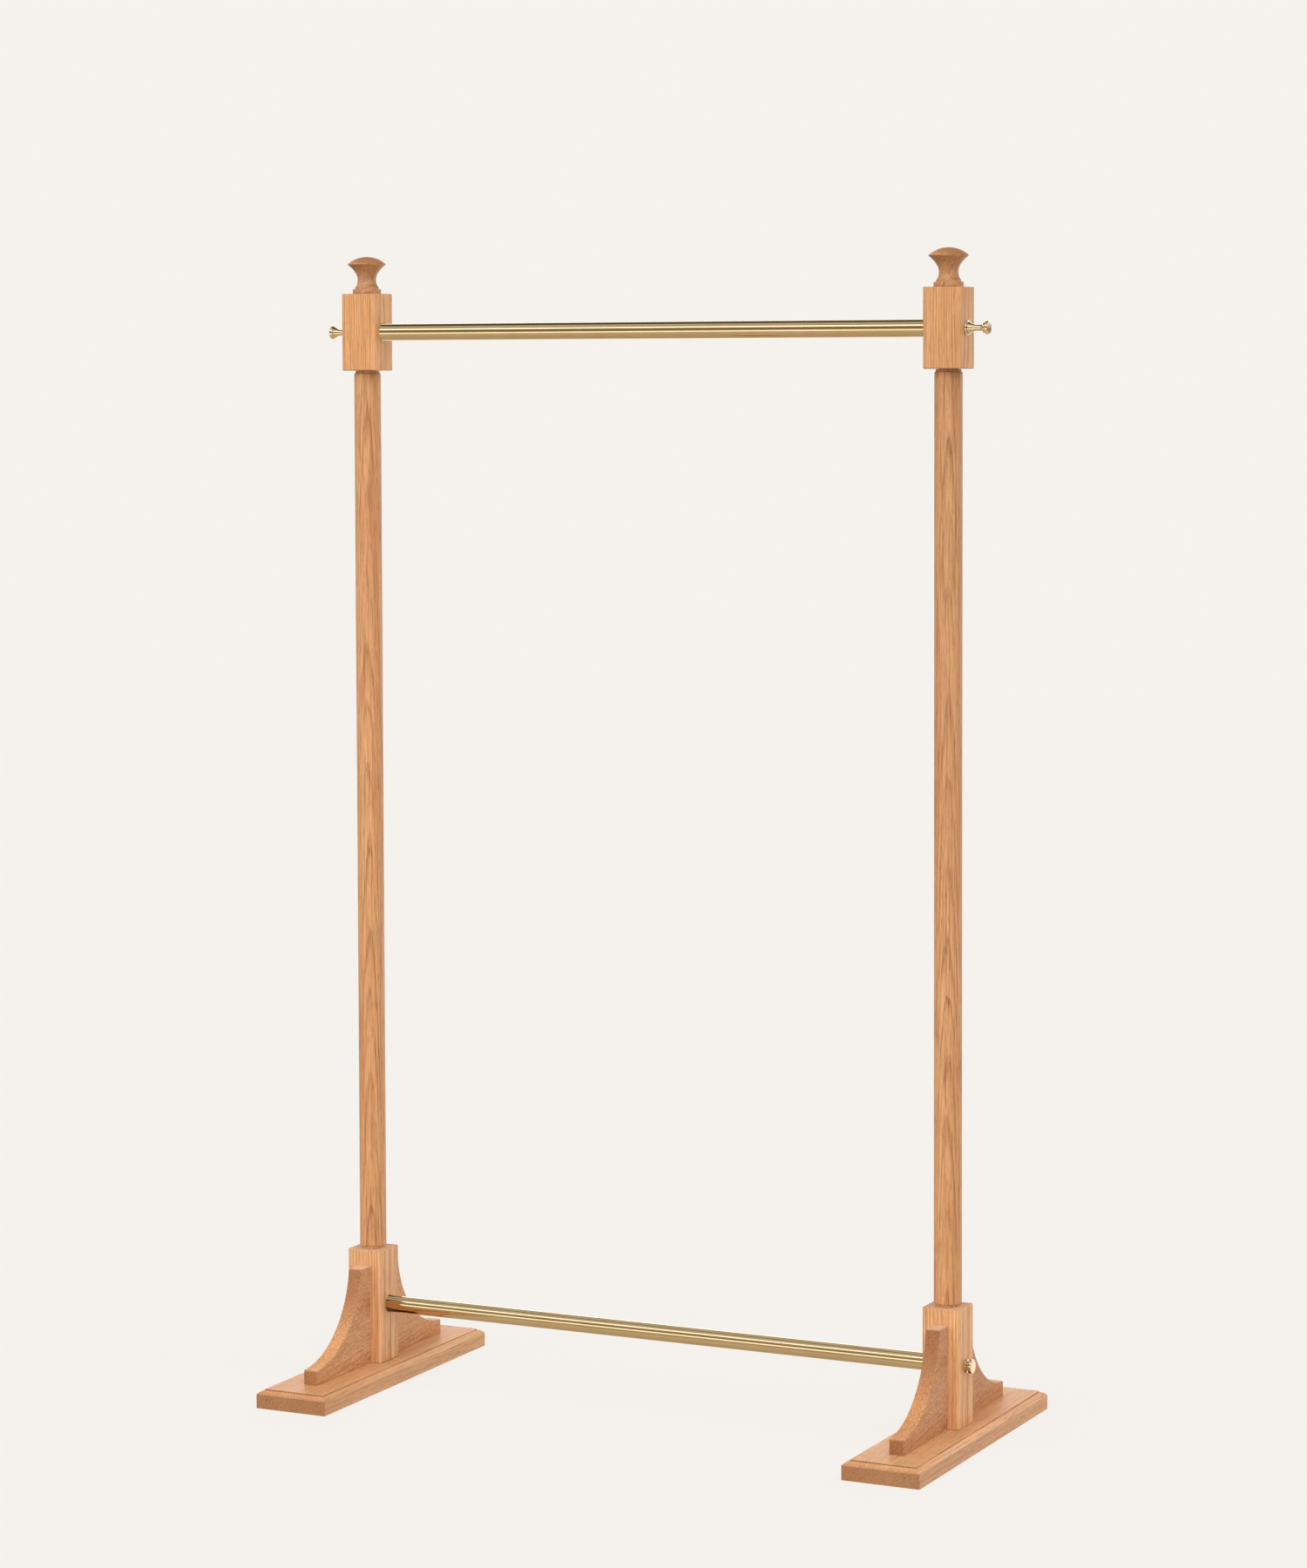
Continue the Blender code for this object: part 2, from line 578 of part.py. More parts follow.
def peg_profile():
    """The long peg: a round base, a waist, a flared head with a ring groove, and a flat end."""
    start = PEG_WASHER_THICKNESS + 2 * GAP
    neck = quadratic_curve(PEG_NECK_START, PEG_NECK_CONTROL, PEG_WAIST, PEG_NECK_SEGMENTS)
    flare = quadratic_curve(PEG_WAIST, PEG_FLARE_CONTROL, PEG_LIP, PEG_FLARE_SEGMENTS)
    base = [(0, start), (PEG_BASE_RADIUS, start), (PEG_BASE_RADIUS, start + PEG_BASE_EDGE)]
    return [*base, *neck, *flare[1:], *PEG_HEAD, (0, PEG_LENGTH)]


def button_profile():
    """The short button: a groove against the washer, then a head with a flat end."""
    start = BUTTON_WASHER_THICKNESS + 2 * GAP
    groove = [(0, start), (BUTTON_GROOVE_RADIUS, start), (BUTTON_GROOVE_RADIUS, BUTTON_GROOVE_END)]
    return [*groove, *BUTTON_HEAD, (0, BUTTON_LENGTH)]


def knob_kinds():
    """The peg at each end of the upper rail and the button at each end of the lower one."""
    peg = (peg_profile(), PEG_WASHER_RADIUS, PEG_WASHER_THICKNESS, PEG_STUD_DEPTH)
    button = (button_profile(), BUTTON_WASHER_RADIUS, BUTTON_WASHER_THICKNESS, BUTTON_STUD_DEPTH)
    return {"upper": Knob(UPPER_RAIL_HEIGHT, *peg), "lower": Knob(LOWER_RAIL_HEIGHT, *button)}


def add_knob(level, kind, side, materials):
    """A knob on a block's outer face, with its washer, and the stud that draws up the rail."""
    sign = SIDES[side]
    name = f"{level}_{side}"
    axis = X_AXIS * sign
    hub = new_empty(f"{name}_knob_axis", (sign * (SPAN / 2 + HALF_BLOCK), 0, kind.height))
    brass = materials["brass_polished"]
    washer = ring(kind.washer_radius, STUD_HOLE_RADIUS, kind.washer_thickness, KNOB_SEGMENTS)
    add_object(f"{name}_knob_washer", washer, brass, hub, axis * GAP, axis)
    shape = turned(kind.outline, KNOB_SEGMENTS)
    knob = add_object(f"{name}_knob", shape, brass, hub, (0, 0, 0), axis)
    knob_base = kind.washer_thickness + 2 * GAP
    socket_steps = [(TAPPED_HOLE_RADIUS, kind.stud_depth + GAP)]
    drill(knob, "stud_socket", axis * knob_base, axis, socket_steps)
    inner_end = BLOCK_SIDE - RAIL_POCKET_DEPTH + GAP + STUD_THREAD_ENGAGEMENT
    stud = rod(STUD_RADIUS, inner_end + knob_base + kind.stud_depth, STUD_BEVEL)
    add_object(f"{name}_knob_stud", stud, materials["steel"], hub, -axis * inner_end, axis)


def main():
    clear_scene()
    materials = new_materials()
    for side, sign in SIDES.items():
        add_upright(side, sign, materials)
        for level, kind in knob_kinds().items():
            add_knob(level, kind, side, materials)
    add_rail("upper", UPPER_RAIL_HEIGHT, materials)
    add_rail("lower", LOWER_RAIL_HEIGHT, materials)


main()
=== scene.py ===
"""Looks of a free-standing oak garment rail with two brass rails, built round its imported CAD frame.

Every piece is built in the frame's own coordinates, in metres: X along the rails, Y from front (-)
to back (+), Z up. Each mesh is finished there and its object stays at the origin.
"""

import math
from collections import namedtuple

import bmesh
import bpy
from mathutils import Matrix, Vector


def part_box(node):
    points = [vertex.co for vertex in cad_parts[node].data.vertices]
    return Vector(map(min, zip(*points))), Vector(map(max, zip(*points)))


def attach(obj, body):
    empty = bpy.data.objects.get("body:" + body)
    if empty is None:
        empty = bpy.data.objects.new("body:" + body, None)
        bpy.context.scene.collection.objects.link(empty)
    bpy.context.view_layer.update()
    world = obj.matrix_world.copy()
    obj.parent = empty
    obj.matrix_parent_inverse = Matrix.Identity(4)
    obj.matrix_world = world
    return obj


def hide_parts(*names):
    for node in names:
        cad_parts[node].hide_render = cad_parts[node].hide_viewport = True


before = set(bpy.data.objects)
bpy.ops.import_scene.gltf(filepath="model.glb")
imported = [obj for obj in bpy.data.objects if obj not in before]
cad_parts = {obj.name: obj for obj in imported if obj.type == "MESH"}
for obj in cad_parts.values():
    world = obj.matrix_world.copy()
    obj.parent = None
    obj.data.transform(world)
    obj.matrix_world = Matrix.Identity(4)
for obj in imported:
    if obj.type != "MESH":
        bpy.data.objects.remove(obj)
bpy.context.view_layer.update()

X_AXIS = Vector((1, 0, 0))
Y_AXIS = Vector((0, 1, 0))
Z_AXIS = Vector((0, 0, 1))
SIDES = {"left": -1, "right": 1}
DEPTHS = {"front": -1, "back": 1}
LEVELS = ("upper", "lower")
GAP = 0.0003  # clearance between neighbouring pieces, as in the CAD

# Camera, fitted to the stand's edges as the photograph shows them
CAMERA_PLACE = (2.3587, -4.8291, 1.3485)
CAMERA_AZIMUTH = math.radians(25.969)
CAMERA_PITCH = math.radians(3.085)
CAMERA_ROLL = math.radians(-0.174)
CAMERA_LENS = 95.97
CAMERA_SHIFT = -0.12

# Room
ROOM_COLOUR = (0.9131, 0.8879, 0.8469)
ROOM_RADIUS = 12.0
BACKDROP_CLEARANCE = 0.5
FLOOR_HEIGHT = -0.0002
FLOOR_SCATTER = 0.10  # share of the floor's brightness that can fall into shadow
FLOOR_LIGHT = (1.161, 1.110, 1.011)  # light that reaches the open floor

# Square blocks
BLOCK_EDGE = 0.0034  # rounding of the upright edges
BLOCK_EDGE_SEGMENTS = 6
ARRIS = 0.0006  # rounding of the edges round the top and the foot
UPPER_BLOCK_FOOT_EDGE = 0.0018
RAIL_POCKET = (0.0113, 0.015)  # radius and depth, as for the holes below
POCKET_EDGE = 0.0005
STUD_HOLE_RADIUS = 0.0033
MORTISE = (0.0128, 0.0306)  # for the pole's tenon
INSERT_HOLE = (0.0063, 0.0256)
DOWEL_HOLE = (0.0043, 0.0153)
DOWEL_HEIGHT = 0.100
FINIAL_SCREW_HOLE = (0.0033, 0.0173)
SCREW_HOLE_IN_FINIAL = (0.0033, 0.017)

# Base plates
MOULDING_WIDTH = 0.0084
MOULDING_DROP = 0.0048
MOULDING_SWELL = (0.0032, 0.0011)  # distance in from the side, and down from the moulding's top
MOULDING_STEP = 0.0015
QUIRK_WIDTH = 0.0009  # the fine groove between the moulding and the step
QUIRK_DEPTH = 0.0007
MOULDING_SEGMENTS = 12
PLATE_ARRIS = 0.0004
PLATE_CORNER = 0.0008
PLATE_CORNER_SEGMENTS = 3
CAP_MARGIN = 0.004  # width of the flat border modelled round the top and the underside
BOLT_HOLE = ((0.0100, 0.0105), (0.0045, 0.030))  # (radius, depth) of the counterbore and the hole
SCREW_HOLE = ((0.0048, 0.0038), (0.0026, 0.030))
SCREW_PLACE = 0.085  # how far in front of the bolt, and behind it, the bracket screws are

# Brackets
BRACKET_TOP_DEPTH = 0.0247
BRACKET_TOE_HEIGHT = 0.019
BRACKET_ARC_RADIUS = 0.1225
BRACKET_ARC_SEGMENTS = 48
BRACKET_EDGE = 0.0011  # rounding along the outline, but not against the block and the plate
BRACKET_CORNER = 0.0026  # rounding of the outline at the ends of the arc
BRACKET_CORNER_SEGMENTS = 6
BRACKET_SCREW_HOLE = (0.0026, 0.0223)

# Poles
NECK_RADIUS = 0.0161
NECK_HEIGHT = 0.0036
NECK_EDGE = 0.0005
POLE_EDGE = 0.0009
POLE_EDGE_SEGMENTS = 5
TENON_RADIUS = 0.0125
TENON_LENGTH = 0.030
TENON_EDGE = 0.001

# Finials
FINIAL_ARRIS = 0.0007
RIM_ARRIS = 0.0004

# Rails and knobs
RAIL_WALL = 0.0012
RAIL_ARRIS = 0.0003
WASHER_ARRIS = 0.0005
PEG_FOOT_ARRIS = 0.0003
PEG_HEAD_ARRIS = 0.0006
BUTTON_ARRIS = 0.0005
SOCKET_RADIUS = 0.00315
PEG_SOCKET_DEPTH = 0.0062
BUTTON_SOCKET_DEPTH = 0.0045

# Meshes
TURNED_SEGMENTS = 64
HOLE_SEGMENTS = 32
HOLE_OVERRUN = 0.002  # how far a cutter sticks out of its hole's mouth
FILLET_SHARE = 0.45  # most of a side that may be cut back to round one of its corners
NEARLY_STRAIGHT = 0.01  # sine of a turn below which two sides count as one line
ON_AXIS = 1e-7  # radius below which a turned profile is on its axis
SOFTENED_ANGLE = math.radians(20)  # corners of an outline sharper than this are rounded
SHARP_ANGLE = math.radians(40)  # edges sharper than this are shaded as edges


def curve(start, control, end, segments):
    """Points on a quadratic Bezier curve, both ends included."""
    start, control, end = Vector(start), Vector(control), Vector(end)
    steps = [step / segments for step in range(segments + 1)]
    return [start * (1 - t) ** 2 + control * (2 * t * (1 - t)) + end * t**2 for t in steps]


def fillet(before, corner, after, radius, segments=4):
    """Points that round one corner of an outline, cut back by at most radius along both sides."""
    before, corner, after = Vector(before), Vector(corner), Vector(after)
    back, on = before - corner, after - corner
    reach = min(radius, FILLET_SHARE * back.length, FILLET_SHARE * on.length)
    start, end = corner + back.normalized() * reach, corner + on.normalized() * reach
    return curve(start, corner, end, segments)


def softened(points, radius, closed=False):
    """An outline with every sharp corner rounded."""
    result = []
    count = len(points)
    for index, point in enumerate(points):
        ends = index in (0, count - 1)
        before, after = Vector(points[index - 1]), Vector(points[(index + 1) % count])
        corner = Vector(point)
        turn = (corner - before).angle(after - corner, 0.0)
        if (ends and not closed) or turn < SOFTENED_ANGLE:
            result.append(corner)
        else:
            result += fillet(before, corner, after, radius)
    return result


def arc(centre, radius, start, end, segments):
    """Points on a circle from one angle to another, both ends included."""
    angles = (start + (end - start) * step / segments for step in range(segments + 1))
    return [(centre[0] + radius * math.cos(a), centre[1] + radius * math.sin(a)) for a in angles]


def placed(place, axis):
    """A matrix that turns Z to an axis and then moves the origin to a place."""
    turn = Z_AXIS.rotation_difference(Vector(axis))
    return Matrix.Translation(place) @ turn.to_matrix().to_4x4()


def skinned(shape, rings):
    """Joins rings of vertices with faces. A ring of one vertex closes that end to a point."""
    for lower, upper in zip(rings, rings[1:]):
        count = max(len(lower), len(upper))
        for step in range(count):
            after = (step + 1) % count
            if len(lower) == 1:
                corners = (lower[0], upper[after], upper[step])
            elif len(upper) == 1:
                corners = (lower[step], lower[after], upper[0])
            else:
                corners = (lower[step], lower[after], upper[after], upper[step])
            shape.faces.new(corners)
    return shape


def turned(profile, place=(0, 0, 0), axis=Z_AXIS, segments=TURNED_SEGMENTS):
    """Turns (radius, height) points about an axis. A profile that never reaches the axis is a
    closed outline, which makes a ring."""
    shape = bmesh.new()
    matrix = placed(place, axis)
    rings = []
    for radius, height in profile:
        if radius < ON_AXIS:
            rings.append([shape.verts.new(matrix @ Vector((0, 0, height)))])
            continue
        angles = (2 * math.pi * step / segments for step in range(segments))
        points = (Vector((radius * math.cos(a), radius * math.sin(a), height)) for a in angles)
        rings.append([shape.verts.new(matrix @ point) for point in points])
    if len(rings[0]) > 1 and len(rings[-1]) > 1:
        rings.append(rings[0])
    return skinned(shape, rings)


def stacked(levels, matrix):
    """A solid of outlines one above another: (points, height) pairs with equally many points."""
    shape = bmesh.new()
    rings = []
    for points, height in levels:
        rings.append([shape.verts.new(matrix @ Vector((*point, height))) for point in points])
    caps = [shape.faces.new(reversed(rings[0])), shape.faces.new(rings[-1])]
    for cap in caps:
        cap.normal_update()
    bmesh.ops.triangulate(shape, faces=caps, ngon_method="EAR_CLIP")
    return skinned(shape, rings)


def rounded_rectangle(half_x, half_y, radius, segments):
    """Points round a rectangle about the origin, with rounded corners."""
    points = []
    for quarter, (x_sign, y_sign) in enumerate(((1, 1), (-1, 1), (-1, -1), (1, -1))):
        centre = (x_sign * (half_x - radius), y_sign * (half_y - radius))
        start = quarter * math.pi / 2
        points += arc(centre, radius, start, start + math.pi / 2, segments)
    return points


def edge_levels(bottom_edge, top_edge, height, segments=4):
    """(inset, height) pairs up the side of a solid with a rounded bottom and top edge."""
    levels = []
    angles = [math.pi / 2 * step / segments for step in range(segments + 1)]
    for a in angles:
        levels.append((bottom_edge * (1 - math.sin(a)), bottom_edge * (1 - math.cos(a))))
    for a in angles:
        levels.append((top_edge * (1 - math.cos(a)), height - top_edge * (1 - math.sin(a))))
    return levels


def hole(mouth, direction, steps, mouth_edge=0.0):
    """A closed cutter for a round hole. Steps are (radius, depth) pairs, widest first."""
    profile = [(0, -HOLE_OVERRUN)]
    reached = -HOLE_OVERRUN
    for index, (radius, depth) in enumerate(steps):
        if index == 0 and mouth_edge:
            profile += [(radius + mouth_edge + HOLE_OVERRUN, reached), (radius, mouth_edge)]
            reached = mouth_edge
        profile += [(radius, reached), (radius, depth)]
        reached = depth
    profile.append((0, reached))
    return turned(profile, mouth, direction, HOLE_SEGMENTS)


def carved(shape, cutters):
    """A shape with closed cutters taken away from it by exact Booleans, applied at once."""
    objects = []
    for index, part in enumerate([shape, *cutters]):
        bmesh.ops.recalc_face_normals(part, faces=part.faces)
        mesh = bpy.data.meshes.new(f"carving_{index}")
        part.to_mesh(mesh)
        part.free()
        objects.append(bpy.data.objects.new(f"carving_{index}", mesh))
        bpy.context.scene.collection.objects.link(objects[-1])
    for cutter in objects[1:]:
        modifier = objects[0].modifiers.new(cutter.name, "BOOLEAN")
        modifier.object = cutter
        modifier.solver = "EXACT"
    graph = bpy.context.evaluated_depsgraph_get()
    mesh = bpy.data.meshes.new_from_object(objects[0].evaluated_get(graph))
    result = bmesh.new()
    result.from_mesh(mesh)
    bpy.data.meshes.remove(mesh)
    for obj in objects:
        old = obj.data
        bpy.data.objects.remove(obj)
        bpy.data.meshes.remove(old)
    return result


def add_piece(name, shape, material, body, slot, *nodes, flat_sided=False, mirrored=True):
    """Makes a piece of a finished shape, which rides on a body and stands for CAD nodes. A piece
    that isn't mirrored is left out of reflections, which keeps the ends of the rails plain."""
    bmesh.ops.recalc_face_normals(shape, faces=shape.faces)
    mesh = bpy.data.meshes.new(name)
    shape.to_mesh(mesh)
    shape.free()
    mesh.shade_smooth()
    mesh.set_sharp_from_angle(angle=SHARP_ANGLE)
    mesh.materials.append(material)
    obj = bpy.data.objects.new(name, mesh)
    bpy.context.scene.collection.objects.link(obj)
    if flat_sided:
        modifier = obj.modifiers.new("face_weighted_normals", "WEIGHTED_NORMAL")
        modifier.keep_sharp = True
        modifier.weight = 100
    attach(obj, body)
    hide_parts(*nodes)
    obj.visible_glossy = mirrored


class Nodes:
    """Builds a node tree from short steps, each of which gives an output socket."""

    def __init__(self, tree):
        self.tree = tree

    def feed(self, socket, value):
        """Links an output to a socket, or sets the socket to a constant."""
        if isinstance(value, bpy.types.NodeSocket):
            self.tree.links.new(value, socket)
        else:
            socket.default_value = value

    def add(self, kind, inputs, output=0, **settings):
        """Adds a node with its inputs fed, and gives one of its outputs."""
        node = self.tree.nodes.new("ShaderNode" + kind)
        for key, value in settings.items():
            setattr(node, key, value)
        for key, value in inputs.items():
            self.feed(node.inputs[key], value)
        return node.outputs[output]

    def coordinates(self, kind="Object"):
        return self.add("TexCoord", {}, kind)

    def math(self, operation, a, b=0.0):
        return self.add("Math", {0: a, 1: b}, operation=operation)

    def vector(self, operation, a, b=(0, 0, 0), output=0):
        return self.add("VectorMath", {0: a, 1: b}, output, operation=operation)

    def noise(self, place, scales, detail=2.0, roughness=0.5, output="Fac"):
        """Noise whose grain is 1/scale metres along each axis."""
        stretched = self.vector("MULTIPLY", place, scales)
        inputs = {"Vector": stretched, "Scale": 1.0, "Detail": detail, "Roughness": roughness}
        return self.add("TexNoise", inputs, output)

    def ease(self, value, low, high, to_low=0.0, to_high=1.0):
        """A smooth step from to_low, at low, to to_high, at high. Low may be above high."""
        inputs = {"Value": value, 1: low, 2: high, 3: to_low, 4: to_high}
        return self.add("MapRange", inputs, interpolation_type="SMOOTHSTEP")

    def span(self, value, low, high, to_low=0.0, to_high=1.0):
        """An even change from to_low, at low, to to_high, at high."""
        return self.add("MapRange", {"Value": value, 1: low, 2: high, 3: to_low, 4: to_high})

    def mix(self, factor, a, b, blend="MIX"):
        """Colour a where the factor is 0, and colour b where it is 1."""
        colours = [(*c, 1) if isinstance(c, tuple) and len(c) == 3 else c for c in (a, b)]
        inputs = {0: factor, 6: colours[0], 7: colours[1]}
        return self.add("Mix", inputs, 2, data_type="RGBA", blend_type=blend)

    def tinted(self, colour, tint):
        """A colour times a tint."""
        return self.mix(1.0, colour, tint, "MULTIPLY")

    def varied(self, colour, value, low_tint, high_tint):
        """A colour times low_tint where a noise value is low, and high_tint where it is high."""
        low, high = self.tinted(colour, low_tint), self.tinted(colour, high_tint)
        return self.mix(self.span(value, 0.3, 0.7), low, high)

    def ramp(self, value, stops):
        """Looks a value up in (position, colour) stops."""
        node = self.tree.nodes.new("ShaderNodeValToRGB")
        elements = node.color_ramp.elements
        while len(elements) < len(stops):
            elements.new(0.5)
        for element, (position, colour) in zip(elements, stops):
            element.position = position
            element.color = (*colour, 1)
        self.feed(node.inputs[0], value)
        return node.outputs[0]


class Shader(Nodes):
    """Builds a node material about its Principled BSDF."""

    def __init__(self, name):
        self.material = bpy.data.materials.new(name)
        self.material.use_nodes = True
        super().__init__(self.material.node_tree)
        self.surface = self.tree.nodes["Principled BSDF"]

    def bump(self, height, distance, strength=1.0):
        inputs = {"Height": height, "Distance": distance, "Strength": strength}
        self.feed(self.surface.inputs["Normal"], self.add("Bump", inputs))

    def finish(self, colour, roughness):
        self.feed(self.surface.inputs["Base Color"], colour)
        self.feed(self.surface.inputs["Roughness"], roughness)
        return self.material


# How one piece of oak was sawn: the directions along the fibres and out from the heart of the
# tree, how far off the heart is, the spacing of the years, the colours of late and early wood, and
# the strength of the years, the streaks, their waviness and the flecks of figure. end_tone is the
# tint of end grain, and fade is how much lighter the piece gets with each metre
# along the fibres: painted light, standing in for the light the floor throws up onto a pole's foot.
TIMBER_FIELDS = (
    "along outward heart spacing late early contrast streaks wander end_tone figure fade"
)
Timber = namedtuple("Timber", TIMBER_FIELDS, defaults=(0.1, 0.0))  # of figure and fade

OAK_LATE = (0.665, 0.362, 0.178)
OAK_EARLY = (0.505, 0.226, 0.092)
OAK_PORE = 0.50  # colour of a pore, as a share of the early wood's
# These tints multiply the colour under them. A pair is for the low and the high end of its noise.
FIBRE_TINTS = ((0.86, 0.83, 0.80), (1.10, 1.12, 1.14))
BROAD_TINTS = ((0.95, 0.90, 0.87), (1.04, 1.09, 1.12))
STREAK_TINT = (0.68, 0.58, 0.51)
LIGHT_FLECK_TINT = (1.22, 1.26, 1.32)
DARK_FLECK_TINT = (0.80, 0.72, 0.66)
# Rays have the late wood's colour times a tint, and so do the edges, which are lightened
# partly by wear and partly by a painted highlight.
RAY_TINT = (1.12, 1.20, 1.30)
RAY_STRENGTH = 0.16
WORN_AND_HIGHLIT_EDGE_TINT = (1.16, 1.20, 1.25)
WORN_AND_HIGHLIT_EDGE_STRENGTH = 0.22
PORE_STRENGTH = 0.75
# Noise scales, in 1/metres: out from the heart, round it, and along the fibres
SLOW_SHAKE_SCALES = (9, 9, 1.6)
QUICK_SHAKE_SCALES = (70, 70, 9)
QUICK_SHAKE_REACH = 0.0022
FIBRE_SCALES = (620, 620, 14)
STREAK_SCALES = (470, 470, 8)
FLECK_SCALES = (560, 560, 190)
BROAD_SCALES = (22, 22, 2.2)
PORE_SCALES = (850, 850, 48)
RAY_SCALES = (110, 1500, 75)
OAK_BUMP_DEPTH = 0.00012
SPECK_COLOUR = (0.10, 0.05, 0.03)
SPECK_RADII = (0.0006, 0.0014)  # where a speck is darkest, and where it ends
WORN_AND_HIGHLIT_EDGE_RADIUS = 0.0011
TIMBER_STEP = 3.7  # metres along the tree from one piece of timber to the next
PAINTED_SLOPE_REACH = 0.6  # metres either side of a piece's middle over which its painted light changes
RING_STOPS = ((0.0, 0.9), (0.12, 1.0), (0.34, 0.42), (0.6, 0.10), (0.92, 0.0), (1.0, 0.25))


def scaled(colour, *shares):
    """A colour times one number, or times a number for each of red, green and blue."""
    factors = shares * 3 if len(shares) == 1 else shares
    return tuple(c * f for c, f in zip(colour, factors))


def toned(timber, tone):
    """The same timber with both of its colours times a tone."""
    return timber._replace(late=scaled(timber.late, *tone), early=scaled(timber.early, *tone))


def timber_place(wood, timber, along, centre, number):
    """Coordinates about the tree's heart, with Z along the fibres."""
    outward = Vector(timber.outward)
    outward = (outward - along * outward.dot(along)).normalized()
    turn = Matrix((outward, along.cross(outward), along))
    heart = Vector(centre) - outward * timber.heart - along * (TIMBER_STEP * number)
    inputs = {"Vector": wood.coordinates(), "Location": -(turn @ heart), "Rotation": turn.to_euler()}
    return wood.add("Mapping", inputs)


def shaken(wood, place, scales, detail, reach):
    """Offsets of up to about half of reach, in metres, in every direction."""
    noise = wood.noise(place, scales, detail, output="Color")
    return wood.vector("MULTIPLY", wood.vector("SUBTRACT", noise, (0.5, 0.5, 0.5)), (reach,) * 3)


def early_wood(wood, wavy, spacing):
    """How much of the wood is early wood, from the distance to the heart. Years differ."""
    from_heart = wood.vector("LENGTH", wood.vector("MULTIPLY", wavy, (1, 1, 0)), output="Value")
    years = wood.math("DIVIDE", from_heart, spacing)
    early = wood.ramp(wood.math("FRACT", years), [(place, (level,) * 3) for place, level in RING_STOPS])
    inputs = {"W": years, "Scale": 0.9, "Detail": 0.0}
    strength = wood.add("TexNoise", inputs, "Fac", noise_dimensions="1D")
    return wood.math("MULTIPLY", early, wood.span(strength, 0.3, 0.7, 0.45, 1.0))


def painted_light_sloped(wood, colour, place, fade, number):
    """A colour that gets lighter by the share fade with each metre along the fibres.
    This is painted light from below, not a change in the wood.
    """
    length = wood.add("SeparateXYZ", {0: place}, "Z")
    middle, change = TIMBER_STEP * number, fade * PAINTED_SLOPE_REACH
    share = wood.span(length, middle - PAINTED_SLOPE_REACH, middle + PAINTED_SLOPE_REACH, 1 - change, 1 + change)
    return wood.tinted(colour, share)


def speckled(wood, colour, speck):
    """A colour with one small dark speck about a point."""
    distance = wood.vector("DISTANCE", wood.coordinates(), speck, output="Value")
    return wood.mix(wood.ease(distance, SPECK_RADII[1], SPECK_RADII[0], 0.0, 0.75), colour, SPECK_COLOUR)


def worn_and_highlit_edges(wood):
    """1 along the outer and inner edges of the shape, and 0 elsewhere: wear and a painted highlight."""
    rounded = wood.add("Bevel", {"Radius": WORN_AND_HIGHLIT_EDGE_RADIUS}, samples=4)
    normal = wood.add("NewGeometry", {}, "Normal")
    return wood.ease(wood.vector("DOT_PRODUCT", rounded, normal, output="Value"), 0.985, 0.86)


